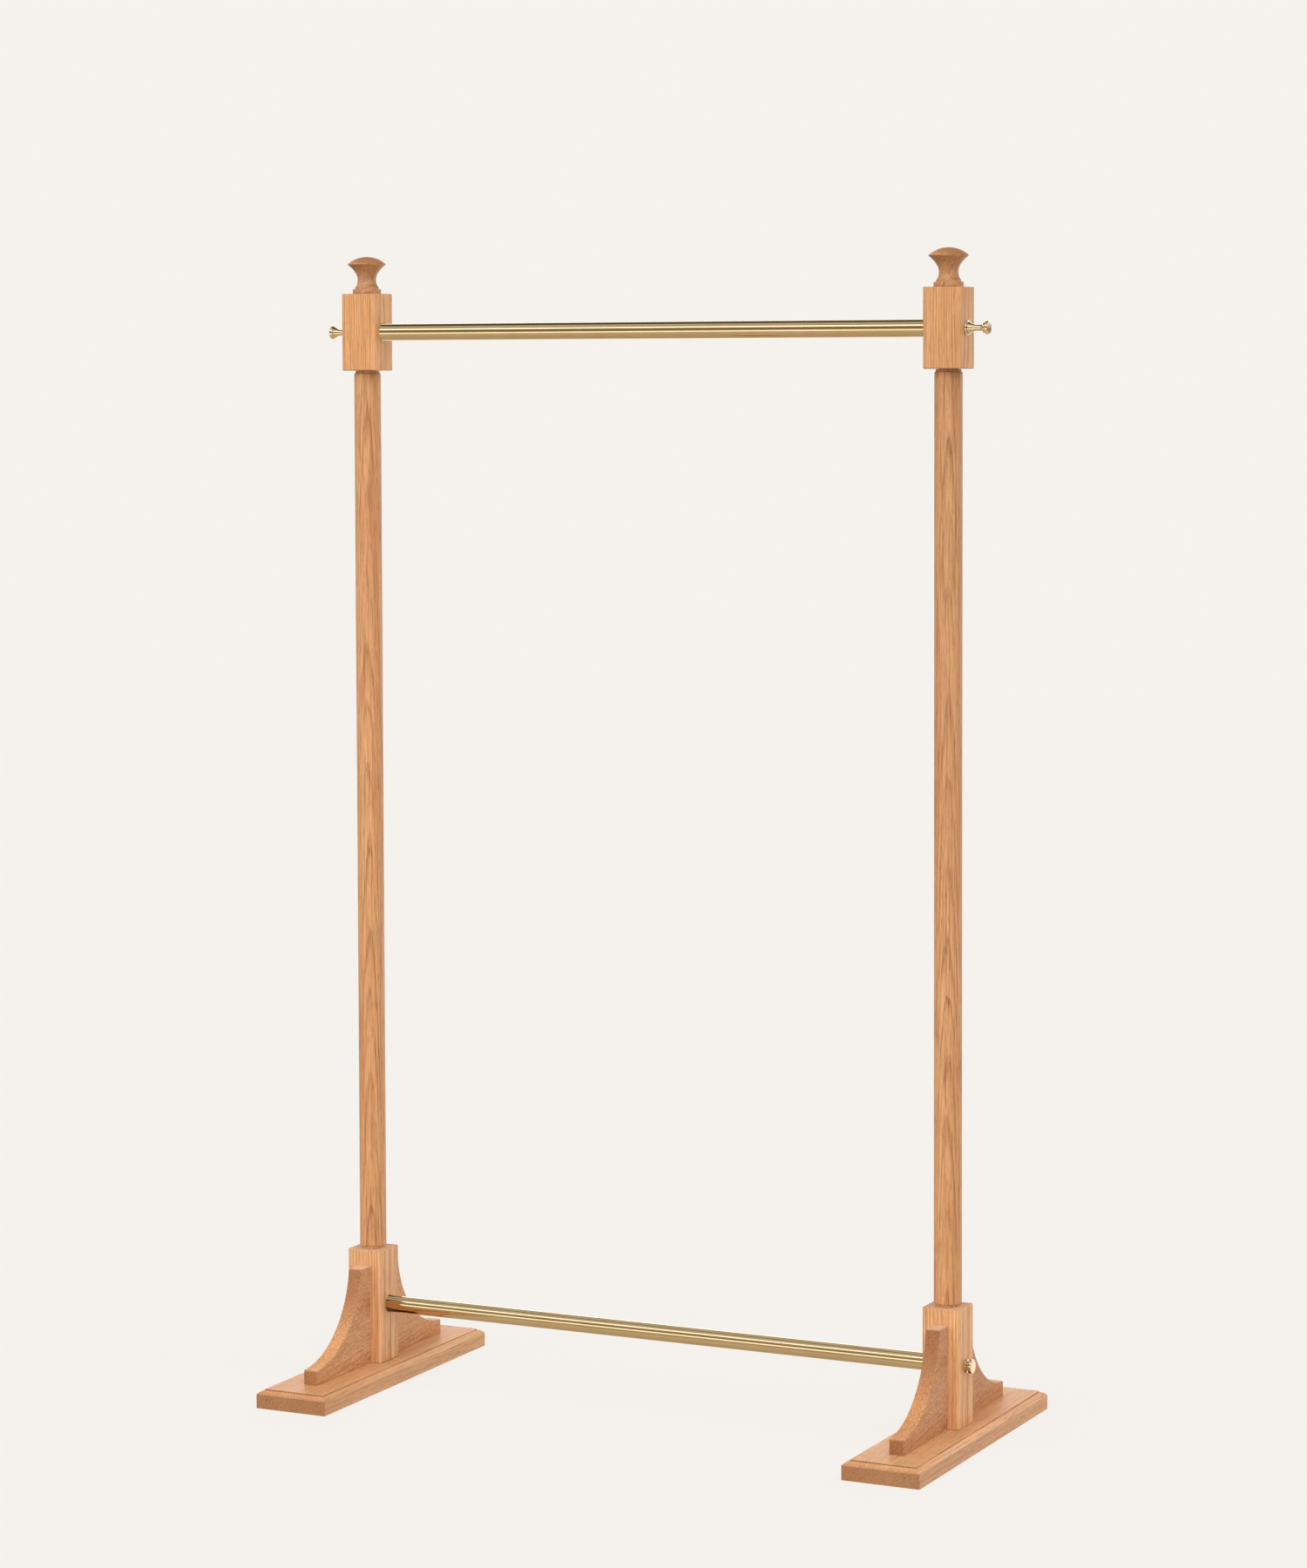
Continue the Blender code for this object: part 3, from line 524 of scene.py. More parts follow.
def oak(name, timber, centre, number, specks=()):
    """Oak with yearly rings about the tree's heart, pores, fibres, rays and darker end grain."""
    wood = Shader(name)
    along = Vector(timber.along).normalized()
    place = timber_place(wood, timber, along, centre, number)
    slow = shaken(wood, place, SLOW_SHAKE_SCALES, 1.0, timber.wander)
    quick = shaken(wood, place, QUICK_SHAKE_SCALES, 2.0, QUICK_SHAKE_REACH)
    wavy = wood.vector("ADD", place, wood.vector("ADD", slow, quick))

    early = early_wood(wood, wavy, timber.spacing)
    fibres = wood.noise(place, FIBRE_SCALES, 3.0, 0.6)
    streaks = wood.ease(wood.noise(wavy, STREAK_SCALES, 3.0), 0.44, 0.66)
    flecks = wood.noise(wood.vector("ADD", place, quick), FLECK_SCALES)
    broad = wood.noise(place, BROAD_SCALES)
    pores = wood.ease(wood.noise(place, PORE_SCALES, 1.0), 0.56, 0.68)
    pores = wood.math("MULTIPLY", pores, wood.span(early, 0.0, 1.0, 0.35, 1.0))
    rays = wood.ease(wood.noise(place, RAY_SCALES, 1.0), 0.6, 0.72)
    facing = wood.vector("DOT_PRODUCT", wood.coordinates("Normal"), tuple(along), output="Value")
    end = wood.ease(wood.math("ABSOLUTE", facing), 0.42, 0.93)

    colour = wood.mix(wood.math("MULTIPLY", early, timber.contrast), timber.late, timber.early)
    colour = wood.varied(colour, fibres, *FIBRE_TINTS)
    streaked = wood.math("MULTIPLY", streaks, timber.streaks)
    colour = wood.mix(streaked, colour, wood.tinted(colour, STREAK_TINT))
    light = wood.math("MULTIPLY", wood.ease(flecks, 0.50, 0.64), timber.figure)
    colour = wood.mix(light, colour, wood.tinted(colour, LIGHT_FLECK_TINT))
    dark = wood.math("MULTIPLY", wood.ease(flecks, 0.48, 0.34), timber.figure)
    colour = wood.mix(dark, colour, wood.tinted(colour, DARK_FLECK_TINT))
    colour = wood.varied(colour, broad, *BROAD_TINTS)
    lit = wood.math("MULTIPLY", rays, RAY_STRENGTH)
    colour = wood.mix(lit, colour, scaled(timber.late, *RAY_TINT))
    pitted = wood.math("MULTIPLY", pores, PORE_STRENGTH)
    colour = wood.mix(pitted, colour, scaled(timber.early, OAK_PORE))
    colour = wood.mix(end, colour, wood.tinted(colour, timber.end_tone))
    # Painted light: lighter towards the floor, as if lit from below by the floor.
    if timber.fade:
        colour = painted_light_sloped(wood, colour, place, timber.fade, number)
    for speck in specks:
        colour = speckled(wood, colour, speck)
    # Lighter edges: partly wear, partly a painted highlight along the arrises.
    worn_and_highlit = wood.math("MULTIPLY", worn_and_highlit_edges(wood), WORN_AND_HIGHLIT_EDGE_STRENGTH)
    colour = wood.mix(worn_and_highlit, colour, scaled(timber.late, *WORN_AND_HIGHLIT_EDGE_TINT))

    roughness = wood.span(fibres, 0.25, 0.75, 0.40, 0.50)
    roughness = wood.math("ADD", roughness, wood.math("MULTIPLY", pores, 0.2))
    roughness = wood.math("ADD", roughness, wood.math("MULTIPLY", end, 0.12))
    height = wood.math("SUBTRACT", wood.math("MULTIPLY", fibres, 0.35), pores)
    wood.bump(height, OAK_BUMP_DEPTH, 0.6)
    return wood.finish(colour, roughness)


BRASS_BUMP_DEPTH = 0.000001
STEEL_BUMP_DEPTH = 0.00002
BEECH_BUMP_DEPTH = 0.00006


def brass(name, tint, smooth, rough, drawn):
    """Lacquered brass with soft tarnish and fine lines. Its roughness goes from smooth to rough,
    and drawn is the lines' noise scale on each axis."""
    metal = Shader(name)
    place = metal.coordinates()
    tarnish = metal.noise(place, (38, 38, 38), 3.0, 0.6)
    lines = metal.noise(place, drawn, 2.0, 0.6)
    colour = metal.mix(metal.span(tarnish, 0.3, 0.7), scaled(tint, 0.93, 0.92, 0.86), tint)
    colour = metal.mix(metal.ease(lines, 0.35, 0.7, 0.0, 0.18), colour, scaled(tint, 0.80, 0.76, 0.68))
    roughness = metal.span(lines, 0.25, 0.75, smooth, rough)
    roughness = metal.math("ADD", roughness, metal.span(tarnish, 0.3, 0.7, 0.02, -0.02))
    metal.surface.inputs["Metallic"].default_value = 1.0
    metal.bump(lines, BRASS_BUMP_DEPTH, 0.3)
    return metal.finish(colour, roughness)


def steel(name):
    """Zinc-plated steel with a faint clouding."""
    metal = Shader(name)
    place = metal.coordinates()
    cloud = metal.noise(place, (260, 260, 260), 3.0, 0.6)
    colour = metal.mix(metal.span(cloud, 0.3, 0.7), (0.44, 0.44, 0.46), (0.62, 0.62, 0.63))
    metal.surface.inputs["Metallic"].default_value = 1.0
    metal.bump(cloud, STEEL_BUMP_DEPTH, 0.4)
    return metal.finish(colour, metal.span(cloud, 0.3, 0.7, 0.26, 0.42))


def beech(name):
    """Beech with short dark flecks, for the dowels."""
    wood = Shader(name)
    place = wood.coordinates()
    flecks = wood.ease(wood.noise(place, (900, 90, 900), 1.0), 0.58, 0.7)
    fibres = wood.noise(place, (500, 14, 500), 3.0)
    colour = wood.mix(wood.span(fibres, 0.3, 0.7), (0.55, 0.37, 0.22), (0.70, 0.50, 0.32))
    colour = wood.mix(wood.math("MULTIPLY", flecks, 0.6), colour, (0.40, 0.22, 0.11))
    wood.bump(fibres, BEECH_BUMP_DEPTH, 0.5)
    return wood.finish(colour, wood.span(fibres, 0.3, 0.7, 0.5, 0.62))


# Wood of each piece
BLOCK_TIMBER = Timber(
    along=(0, 0, 1), outward=(1, -0.3, 0), heart=0.115, spacing=0.0040,
    late=(0.860, 0.505, 0.262), early=(0.600, 0.290, 0.124),
    contrast=0.9, streaks=0.6, wander=0.010,
    end_tone=(0.72, 0.66, 0.62),
)
PLATE_TIMBER = Timber(
    along=(0, 1, 0), outward=(-0.7, 0, 0.7), heart=0.16, spacing=0.0024,
    late=scaled(OAK_LATE, 1.03), early=scaled(OAK_EARLY, 1.03),
    contrast=0.75, streaks=0.55, wander=0.012,
    end_tone=(0.66, 0.61, 0.58),
)
BRACKET_TIMBER = Timber(
    along=(0, 1, 0.12), outward=(-0.75, 0, 0.65), heart=0.12, spacing=0.0020,
    late=OAK_LATE, early=OAK_EARLY,
    contrast=0.65, streaks=0.15, wander=0.014,
    end_tone=(0.64, 0.56, 0.50), figure=0.8,
)
POLE_TIMBER = Timber(
    along=(0.006, -0.020, 1), outward=(0.4, -1, 0), heart=0.050, spacing=0.0021,
    late=(0.775, 0.425, 0.208), early=(0.460, 0.192, 0.077),
    contrast=0.62, streaks=0.8, wander=0.011,
    end_tone=(0.7, 0.64, 0.6),
)
FINIAL_TIMBER = Timber(
    along=(0.5, 0, 1), outward=(0.6, -1, 0), heart=0.030, spacing=0.0026,
    late=scaled(OAK_LATE, 0.96), early=scaled(OAK_EARLY, 0.96),
    contrast=0.7, streaks=0.6, wander=0.010,
    end_tone=(0.62, 0.56, 0.52),
)
# Tones are shares of the common red, green and blue.
BRACKET_TONES = {"left": (1.0, 0.95, 0.89), "right": (0.89, 0.81, 0.73)}
# (how much lighter with each metre up, tone) of each pole; the first is painted light, which
# makes a pole lighter towards the floor
POLE_WOODS = {"left": (-0.06, (1.0, 1.0, 1.0)), "right": (-0.16, (0.91, 0.90, 0.89))}
# (spacing of the years, tone) of each block
BLOCK_WOODS = {
    "left_upper_block": (0.0030, (1.00, 0.95, 0.87)),
    "right_upper_block": (0.0030, (0.91, 0.87, 0.82)),
    "left_lower_block": (0.0042, (1.00, 1.02, 1.06)),
    "right_lower_block": (0.0046, (1.02, 1.02, 1.02)),
}
# Small dark specks on the front ends of the plates: distance from the plate's middle, and height
PLATE_SPECKS = {"left": (-0.035, 0.0125), "right": (0.032, 0.0125)}


def node_frame(node):
    """A CAD node's lowest corner, highest corner and middle."""
    low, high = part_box(node)
    return low, high, (low + high) / 2


def add_base_plate(side, number):
    """A plate with a moulded edge, a groove at the step, and holes in its underside."""
    node = f"{side}_base_plate"
    low, high, middle = node_frame(node)
    half_x, half_y, height = (high.x - low.x) / 2, (high.y - low.y) / 2, high.z - low.z
    ledge = height - MOULDING_STEP
    quirk = (MOULDING_WIDTH, ledge - QUIRK_DEPTH)
    swell = (MOULDING_SWELL[0], ledge - MOULDING_SWELL[1])
    moulding_foot = (0.0, ledge - MOULDING_DROP)
    moulding_top = (MOULDING_WIDTH - QUIRK_WIDTH, ledge)
    rounded = curve(moulding_foot, swell, moulding_top, MOULDING_SEGMENTS)
    outline = [(CAP_MARGIN, 0.0), (0.0, 0.0), *rounded, quirk]
    outline += [(MOULDING_WIDTH, height), (MOULDING_WIDTH + CAP_MARGIN, height)]
    levels = []
    for inset, z in softened(outline, PLATE_ARRIS):
        x, y = half_x - inset, half_y - inset
        levels.append((rounded_rectangle(x, y, PLATE_CORNER, PLATE_CORNER_SEGMENTS), z))
    foot = Vector((middle.x, middle.y, low.z))
    shape = stacked(levels, Matrix.Translation(foot))
    cutters = [hole(foot, Z_AXIS, BOLT_HOLE, POCKET_EDGE)]
    for sign in DEPTHS.values():
        cutters.append(hole(foot + Y_AXIS * sign * SCREW_PLACE, Z_AXIS, SCREW_HOLE, POCKET_EDGE))
    across, up = PLATE_SPECKS[side]
    speck = (middle.x + across, low.y, low.z + up)
    material = oak(f"oak_{node}", PLATE_TIMBER, middle, number, [speck])
    shape = carved(shape, cutters)
    add_piece(f"{node}_oak", shape, material, "frame", "oak", node, flat_sided=True)


def block_shape(node, bottom_edge, top_edge):
    """A square block with rounded upright edges, before its holes are cut."""
    low, high, middle = node_frame(node)
    half = (high.x - low.x) / 2
    levels = []
    for inset, z in edge_levels(bottom_edge, top_edge, high.z - low.z):
        x, edge = half - inset, BLOCK_EDGE - inset
        levels.append((rounded_rectangle(x, x, edge, BLOCK_EDGE_SEGMENTS), z))
    return stacked(levels, Matrix.Translation((middle.x, middle.y, low.z)))


def rail_hole(sign, low, high, height):
    """A cutter for the rail's pocket and the stud's hole, which goes right through a block."""
    mouth = Vector((low.x if sign > 0 else high.x, 0, height))
    stud_hole = (STUD_HOLE_RADIUS, high.x - low.x + HOLE_OVERRUN)
    return hole(mouth, X_AXIS * sign, (RAIL_POCKET, stud_hole), POCKET_EDGE)


def add_block(level, side, sign, number):
    """An upper or lower block, with the holes for the rail, the pole and the fastenings."""
    node = f"{side}_{level}_block"
    low, high, middle = node_frame(node)
    foot, top = Vector((middle.x, 0, low.z)), Vector((middle.x, 0, high.z))
    cutters = [rail_hole(sign, low, high, node_frame(f"{level}_rail")[2].z)]
    if level == "upper":
        shape = block_shape(node, UPPER_BLOCK_FOOT_EDGE, ARRIS)
        cutters += [hole(foot, Z_AXIS, [MORTISE]), hole(top, -Z_AXIS, [FINIAL_SCREW_HOLE])]
    else:
        shape = block_shape(node, ARRIS, ARRIS)
        cutters += [hole(top, -Z_AXIS, [MORTISE]), hole(foot, Z_AXIS, [INSERT_HOLE])]
        for front in DEPTHS.values():
            mouth = Vector((middle.x, low.y if front < 0 else high.y, low.z - GAP + DOWEL_HEIGHT))
            cutters.append(hole(mouth, -Y_AXIS * front, [DOWEL_HOLE]))
    spacing, tone = BLOCK_WOODS[node]
    timber = toned(BLOCK_TIMBER._replace(spacing=spacing), tone)
    material = oak(f"oak_{node}", timber, middle, number)
    shape = carved(shape, cutters)
    add_piece(
        f"{node}_oak", shape, material, "frame", "oak", node, flat_sided=True, mirrored=False
    )


def bracket_outline(reach, height):
    """(distance out from the block, height) corners of a bracket, and how far each side that
    starts at a corner is rounded over, which is nothing where it meets the block or the plate."""
    top, toe = Vector((BRACKET_TOP_DEPTH, height)), Vector((reach, BRACKET_TOE_HEIGHT))
    chord = toe - top
    rise = math.sqrt(BRACKET_ARC_RADIUS**2 - (chord.length / 2) ** 2)
    centre = (top + toe) / 2 + Vector((-chord.y, chord.x)).normalized() * rise
    start = math.atan2(*(top - centre).yx) % (2 * math.pi)
    end = math.atan2(*(toe - centre).yx) % (2 * math.pi)
    face = [Vector(p) for p in arc(centre, BRACKET_ARC_RADIUS, start, end, BRACKET_ARC_SEGMENTS)]
    face = [
        *fillet((0, height), top, face[2], BRACKET_CORNER, BRACKET_CORNER_SEGMENTS),
        *face[2:-2],
        *fillet(face[-3], toe, (reach, 0), BRACKET_CORNER, BRACKET_CORNER_SEGMENTS),
    ]
    points = [Vector((0, 0)), Vector((0, height)), *face, Vector((reach, 0))]
    edges = [0.0] + [BRACKET_EDGE] * (len(points) - 2) + [0.0]
    return points, edges


def inset_outline(points, insets):
    """Moves each side of a clockwise outline inwards by its own distance."""
    moved = []
    for index, point in enumerate(points):
        before, after = points[index - 1], points[(index + 1) % len(points)]
        first, second = (point - before).normalized(), (after - point).normalized()
        normals = Vector((first.y, -first.x)), Vector((second.y, -second.x))
        depth_before, depth_after = insets[index - 1], insets[index]
        cross = normals[0].x * normals[1].y - normals[0].y * normals[1].x
        if abs(cross) < NEARLY_STRAIGHT:
            inwards = (normals[0] + normals[1]).normalized()
            moved.append(point + inwards * (depth_before + depth_after) / 2)
            continue
        x = (depth_before * normals[1].y - depth_after * normals[0].y) / cross
        y = (depth_after * normals[0].x - depth_before * normals[1].x) / cross
        moved.append(point + Vector((x, y)))
    return moved


def add_bracket(side, depth, number):
    """A board in front of or behind a lower block, with rounded outer edges."""
    node = f"{side}_{depth}_bracket"
    low, high, middle = node_frame(node)
    sign = DEPTHS[depth]
    back_y = high.y if sign < 0 else low.y
    points, edges = bracket_outline(high.y - low.y, high.z - low.z)
    levels = []
    for inset, across in edge_levels(1.0, 1.0, (high.x - low.x) / BRACKET_EDGE):
        ring = inset_outline(points, [edge * inset for edge in edges])
        levels.append((ring, across * BRACKET_EDGE))
    axes = Matrix(((0, 0, 1, low.x), (sign, 0, 0, back_y), (0, 1, 0, low.z), (0, 0, 0, 1)))
    dowel_mouth = (middle.x, back_y, low.z - GAP + DOWEL_HEIGHT)
    screw_mouth = (middle.x, sign * SCREW_PLACE, low.z)
    cutters = [
        hole(dowel_mouth, Y_AXIS * sign, [DOWEL_HOLE]),
        hole(screw_mouth, Z_AXIS, [BRACKET_SCREW_HOLE]),
    ]
    shape = carved(stacked(levels, axes), cutters)
    material = oak(f"oak_{node}", toned(BRACKET_TIMBER, BRACKET_TONES[side]), middle, number)
    add_piece(f"{node}_oak", shape, material, "frame", "oak", node, flat_sided=True)


def add_pole(side, number):
    """A round pole with a neck and a tenon at both ends."""
    node = f"{side}_pole"
    low, high, middle = node_frame(node)
    radius = (high.x - low.x) / 2
    end = (high.z - low.z) / 2 - TENON_LENGTH
    edge_centre = (radius - POLE_EDGE, end - NECK_HEIGHT - POLE_EDGE)
    half = [
        (TENON_RADIUS - TENON_EDGE, end + TENON_LENGTH),
        (TENON_RADIUS, end + TENON_LENGTH - TENON_EDGE),
        (TENON_RADIUS, end - GAP),
        (NECK_RADIUS - NECK_EDGE, end - GAP),
        (NECK_RADIUS, end - GAP - NECK_EDGE),
        (NECK_RADIUS, end - NECK_HEIGHT),
        *arc(edge_centre, POLE_EDGE, math.pi / 2, 0, POLE_EDGE_SEGMENTS),
    ]
    lower = [(r, -z) for r, z in half]
    profile = [(0, lower[0][1]), *lower, *half[::-1], (0, half[0][1])]
    # The pole's painted light, lighter towards its foot, and its tone.
    fade, tone = POLE_WOODS[side]
    material = oak(f"oak_{node}", toned(POLE_TIMBER._replace(fade=fade), tone), middle, number)
    shape = turned(profile, middle)
    add_piece(f"{node}_oak", shape, material, "frame", "pole_oak", node, mirrored=False)


def finial_profile(height):
    """Two steps, a flare in to the waist, a cove out to a thin rim, and a low dome."""
    waist, rim, rim_thickness = (0.0121, 0.0185), (0.0253, 0.0388), 0.0006
    foot = [(0, GAP), (0.0187, GAP), (0.0187, 0.0062), (0.0157, 0.0062), (0.0157, 0.0080)]
    foot = softened(foot, FINIAL_ARRIS)
    flare = curve((0.0155, 0.0086), (0.0121, 0.0128), waist, 12)
    cove = curve(waist, (0.0121, 0.0286), rim, 20)
    rise = height - rim[1] - rim_thickness
    dome_radius = (rim[0] ** 2 + rise**2) / (2 * rise)
    start = math.acos(rim[0] / dome_radius)
    dome = arc((0, height - dome_radius), dome_radius, start, math.pi / 2, 14)
    rim_edge = fillet(cove[-2], (rim[0], rim[1] + rim_thickness / 2), dome[1], RIM_ARRIS)
    return [*foot, (0.0157, 0.0084), *flare, *cove[1:-1], *rim_edge, *dome[1:-1], (0, height)]


def add_finial(side, number):
    """The turned knob on an upper block, with the hole for its screw."""
    node = f"{side}_finial"
    low, high, middle = node_frame(node)
    place = Vector((middle.x, middle.y, low.z - GAP))
    shape = turned(finial_profile(high.z - place.z), place)
    mouth = Vector((middle.x, middle.y, low.z))
    shape = carved(shape, [hole(mouth, Z_AXIS, [SCREW_HOLE_IN_FINIAL])])
    material = oak(f"oak_{node}", FINIAL_TIMBER, middle, number)
    add_piece(f"{node}_oak", shape, material, "frame", "oak", node, mirrored=False)


def add_rail(level, material):
    """A brass tube with slightly rounded ends."""
    node = f"{level}_rail"
    low, high, middle = node_frame(node)
    outer, length = (high.z - low.z) / 2, high.x - low.x
    inner = outer - RAIL_WALL
    outline = [(inner, 0), (outer, 0), (outer, length), (inner, length)]
    profile = softened(outline, RAIL_ARRIS, closed=True)
    shape = turned(profile, (low.x, middle.y, middle.z), X_AXIS)
    add_piece(f"{node}_brass", shape, material, "frame", "brass_satin", node)


def peg_profile(start):
    """The long peg: a round base, a waist, a flared head with a ring groove, and a flat end."""
    waist = (0.0039, 0.0150)
    base = [(0, start), (0.0076, start), (0.0076, 0.0031), (0.0071, 0.0036)]
    base = softened(base, PEG_FOOT_ARRIS)
    neck = curve((0.0071, 0.0037), (0.0039, 0.0072), waist, 16)
    flare = curve(waist, (0.0039, 0.0200), (0.0070, 0.0226), 12)
    head = [(0.0061, 0.0234), (0.0080, 0.0248), (0.0087, 0.0262), (0.0087, 0.0280),
            (0.0079, 0.0290), (0, 0.0290)]
    return [*base, *neck, *flare[1:-1], *softened([flare[-1], *head], PEG_HEAD_ARRIS)]


def button_profile(start):
    """The short button: a groove against the washer, then a head with a flat end."""
    groove = [(0, start), (0.0066, start), (0.0066, 0.0039)]
    head = [(0.0080, 0.0042), (0.0089, 0.0055), (0.0089, 0.0088), (0.0084, 0.0093), (0, 0.0093)]
    return softened([*groove, *head], BUTTON_ARRIS)


def threaded_rod(radius, length, place, axis, pitch=0.001, segments=16, per_turn=4):
    """A rod with a right-hand thread along its whole length and a short taper at both ends."""
    shape = bmesh.new()
    matrix = placed(place, axis)
    depth, taper, blunt = 0.6 * pitch, 0.0006, 0.0001
    rings = [[shape.verts.new(matrix @ Vector((0, 0, 0)))]]
    count = round(length / pitch * per_turn)
    for level in range(count + 1):
        height = length * level / count
        from_end = min(height, length - height)
        ring = []
        for step in range(segments):
            turn = step / segments
            phase = (height / pitch - turn) % 1
            local = radius - depth * abs(2 * phase - 1)
            local = min(local, radius - depth + max(0.0, from_end - blunt) / taper * depth)
            angle = 2 * math.pi * turn
            point = Vector((local * math.cos(angle), local * math.sin(angle), height))
            ring.append(shape.verts.new(matrix @ point))
        rings.append(ring)
    rings.append([shape.verts.new(matrix @ Vector((0, 0, length)))])
    return skinned(shape, rings)


def add_knob(level, side, sign, materials):
    """A knob with its washer and its threaded stud."""
    name = f"{level}_{side}"
    axis = X_AXIS * sign

    node = f"{name}_knob_washer"
    low, high, middle = node_frame(node)
    face = Vector(((low.x if sign > 0 else high.x) - sign * GAP, middle.y, middle.z))
    inner, outer, thickness = STUD_HOLE_RADIUS, (high.z - low.z) / 2, high.x - low.x
    outline = [(inner, GAP), (outer, GAP), (outer, GAP + thickness), (inner, GAP + thickness)]
    shape = turned(softened(outline, WASHER_ARRIS, closed=True), face, axis)
    brass_polished = materials["brass_polished"]
    add_piece(f"{node}_brass", shape, brass_polished, f"{name}_washer", "brass_polished", node)

    node = f"{name}_knob"
    start = thickness + 2 * GAP
    profile, depth = peg_profile(start), PEG_SOCKET_DEPTH
    if level == "lower":
        profile, depth = button_profile(start), BUTTON_SOCKET_DEPTH
    socket = hole(face + axis * start, axis, [(SOCKET_RADIUS, depth + GAP)])
    shape = carved(turned(profile, face, axis), [socket])
    add_piece(f"{node}_brass", shape, brass_polished, f"{name}_knob", "brass_polished", node)

    node = f"{name}_knob_stud"
    low, high, middle = node_frame(node)
    inner_end = (low.x if sign > 0 else high.x, middle.y, middle.z)
    shape = threaded_rod((high.z - low.z) / 2, high.x - low.x, inner_end, axis)
    add_piece(f"{node}_thread", shape, materials["steel"], f"{name}_knob", "steel", node)


def finish_hidden_nodes(materials):
    """Gives the CAD solids that stay, which are all fastenings, their finishes."""
    for name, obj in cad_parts.items():
        if not obj.hide_render:
            material = materials["beech" if "dowel" in name else "steel"]
            obj.data.materials.clear()
            obj.data.materials.append(material)


def add_stage_piece(name, shape, sent, scattered):
    """A floor, wall or card of the room, with the colours it sends out and scatters."""
    mesh = bpy.data.meshes.new(name)
    shape.to_mesh(mesh)
    shape.free()
    mesh.shade_smooth()
    paint = Shader(name)
    paint.surface.inputs["Base Color"].default_value = (*scattered, 1)
    paint.surface.inputs["Roughness"].default_value = 1.0
    paint.surface.inputs["Specular IOR Level"].default_value = 0.0
    paint.surface.inputs["Emission Color"].default_value = (*sent, 1)
    paint.surface.inputs["Emission Strength"].default_value = 1.0
    mesh.materials.append(paint.material)
    obj = bpy.data.objects.new(name, mesh)
    bpy.context.scene.collection.objects.link(obj)
    obj.visible_diffuse = False
    obj.visible_glossy = False
    obj.visible_transmission = False
    obj.visible_shadow = False
    return obj


def add_room():
    """A floor and a backdrop of one even colour, of which the floor scatters a small share."""
    dome = bmesh.new()
    radius = ROOM_RADIUS + BACKDROP_CLEARANCE
    bmesh.ops.create_uvsphere(dome, u_segments=64, v_segments=32, radius=radius)
    add_stage_piece("backdrop", dome, ROOM_COLOUR, (0, 0, 0))
    floor = bmesh.new()
    place = Matrix.Translation((0, 0, FLOOR_HEIGHT))
    bmesh.ops.create_circle(floor, cap_ends=True, segments=96, radius=ROOM_RADIUS, matrix=place)
    scattered = scaled(ROOM_COLOUR, FLOOR_SCATTER)
    lit = scaled(scattered, *FLOOR_LIGHT)
    sent = tuple(colour - share for colour, share in zip(ROOM_COLOUR, lit))
    add_stage_piece("floor", floor, sent, scattered)


# Brightness of the surroundings, as (angle, colour): the angle turns from straight ahead of the
# rails' front, at 0, up over the top, at 90, to the back, at 180.
SURROUNDINGS = (
    (-180, (0.26, 0.23, 0.16)),
    (-173, (1.25, 1.15, 1.05)),
    (-150, (1.05, 0.94, 0.82)),
    (-120, (0.55, 0.45, 0.34)),
    (-75, (0.60, 0.49, 0.36)),
    (-50, (0.68, 0.55, 0.41)),
    (-30, (0.70, 0.58, 0.43)),
    (-4, (0.45, 0.36, 0.25)),
    (5, (0.27, 0.21, 0.12)),
    (27, (0.27, 0.21, 0.12)),
    (34, (0.48, 0.40, 0.30)),
    (58, (0.50, 0.42, 0.32)),
    (66, (0.66, 0.58, 0.48)),
    (88, (0.66, 0.58, 0.48)),
    (97, (0.10, 0.09, 0.06)),
    (146, (0.10, 0.09, 0.06)),
    (156, (2.20, 2.10, 2.00)),
    (173, (2.20, 2.10, 2.00)),
    (180, (0.26, 0.23, 0.16)),
)
SUN_COLOUR = (1.0, 0.985, 0.96)
CARD_REACH = 5.0  # how far each card goes to the left and to the right
SIDE_LIGHT = (0.50, 0.42, 0.32)
SIDE_RANGE = (0.74, 0.95)  # share of a direction along the rails where the ends' light takes over


def add_surroundings():
    """Bands of light round the rails' direction, which light the wood and show in the brass."""
    world = bpy.data.worlds.new("studio")
    bpy.context.scene.world = world
    world.use_nodes = True
    sky = Nodes(world.node_tree)
    direction = sky.coordinates("Generated")
    sideways, depth, height = (sky.add("SeparateXYZ", {0: direction}, axis) for axis in "XYZ")
    angle = sky.math("ARCTAN2", height, sky.math("MULTIPLY", depth, -1.0))
    turn = sky.span(angle, -math.pi, math.pi)
    bands = sky.ramp(turn, [((degrees + 180) / 360, colour) for degrees, colour in SURROUNDINGS])
    side = sky.ease(sky.math("ABSOLUTE", sideways), *SIDE_RANGE)
    sky.feed(sky.tree.nodes["Background"].inputs["Color"], sky.mix(side, bands, SIDE_LIGHT))


def add_sun(name, azimuth, elevation, strength, spread):
    """Soft light from one side. Azimuth 0 is straight in front, and 90 is to the right."""
    light = bpy.data.lights.new(name, "SUN")
    light.energy = strength
    light.angle = math.radians(spread)
    light.color = SUN_COLOUR
    obj = bpy.data.objects.new(name, light)
    a, e = math.radians(azimuth), math.radians(elevation)
    towards = Vector((math.sin(a) * math.cos(e), -math.cos(a) * math.cos(e), math.sin(e)))
    obj.rotation_euler = Z_AXIS.rotation_difference(towards).to_euler()
    obj.visible_glossy = False
    bpy.context.scene.collection.objects.link(obj)


def add_card(name, low, high, colour):
    """A long card between two (y, z) edges, which only shows as a reflection in the brass."""
    shape = bmesh.new()
    left, right = -CARD_REACH, CARD_REACH
    corners = [(left, *low), (right, *low), (right, *high), (left, *high)]
    shape.faces.new([shape.verts.new(corner) for corner in corners])
    card = add_stage_piece(name, shape, colour, (0, 0, 0))
    card.visible_camera = False
    card.visible_glossy = True


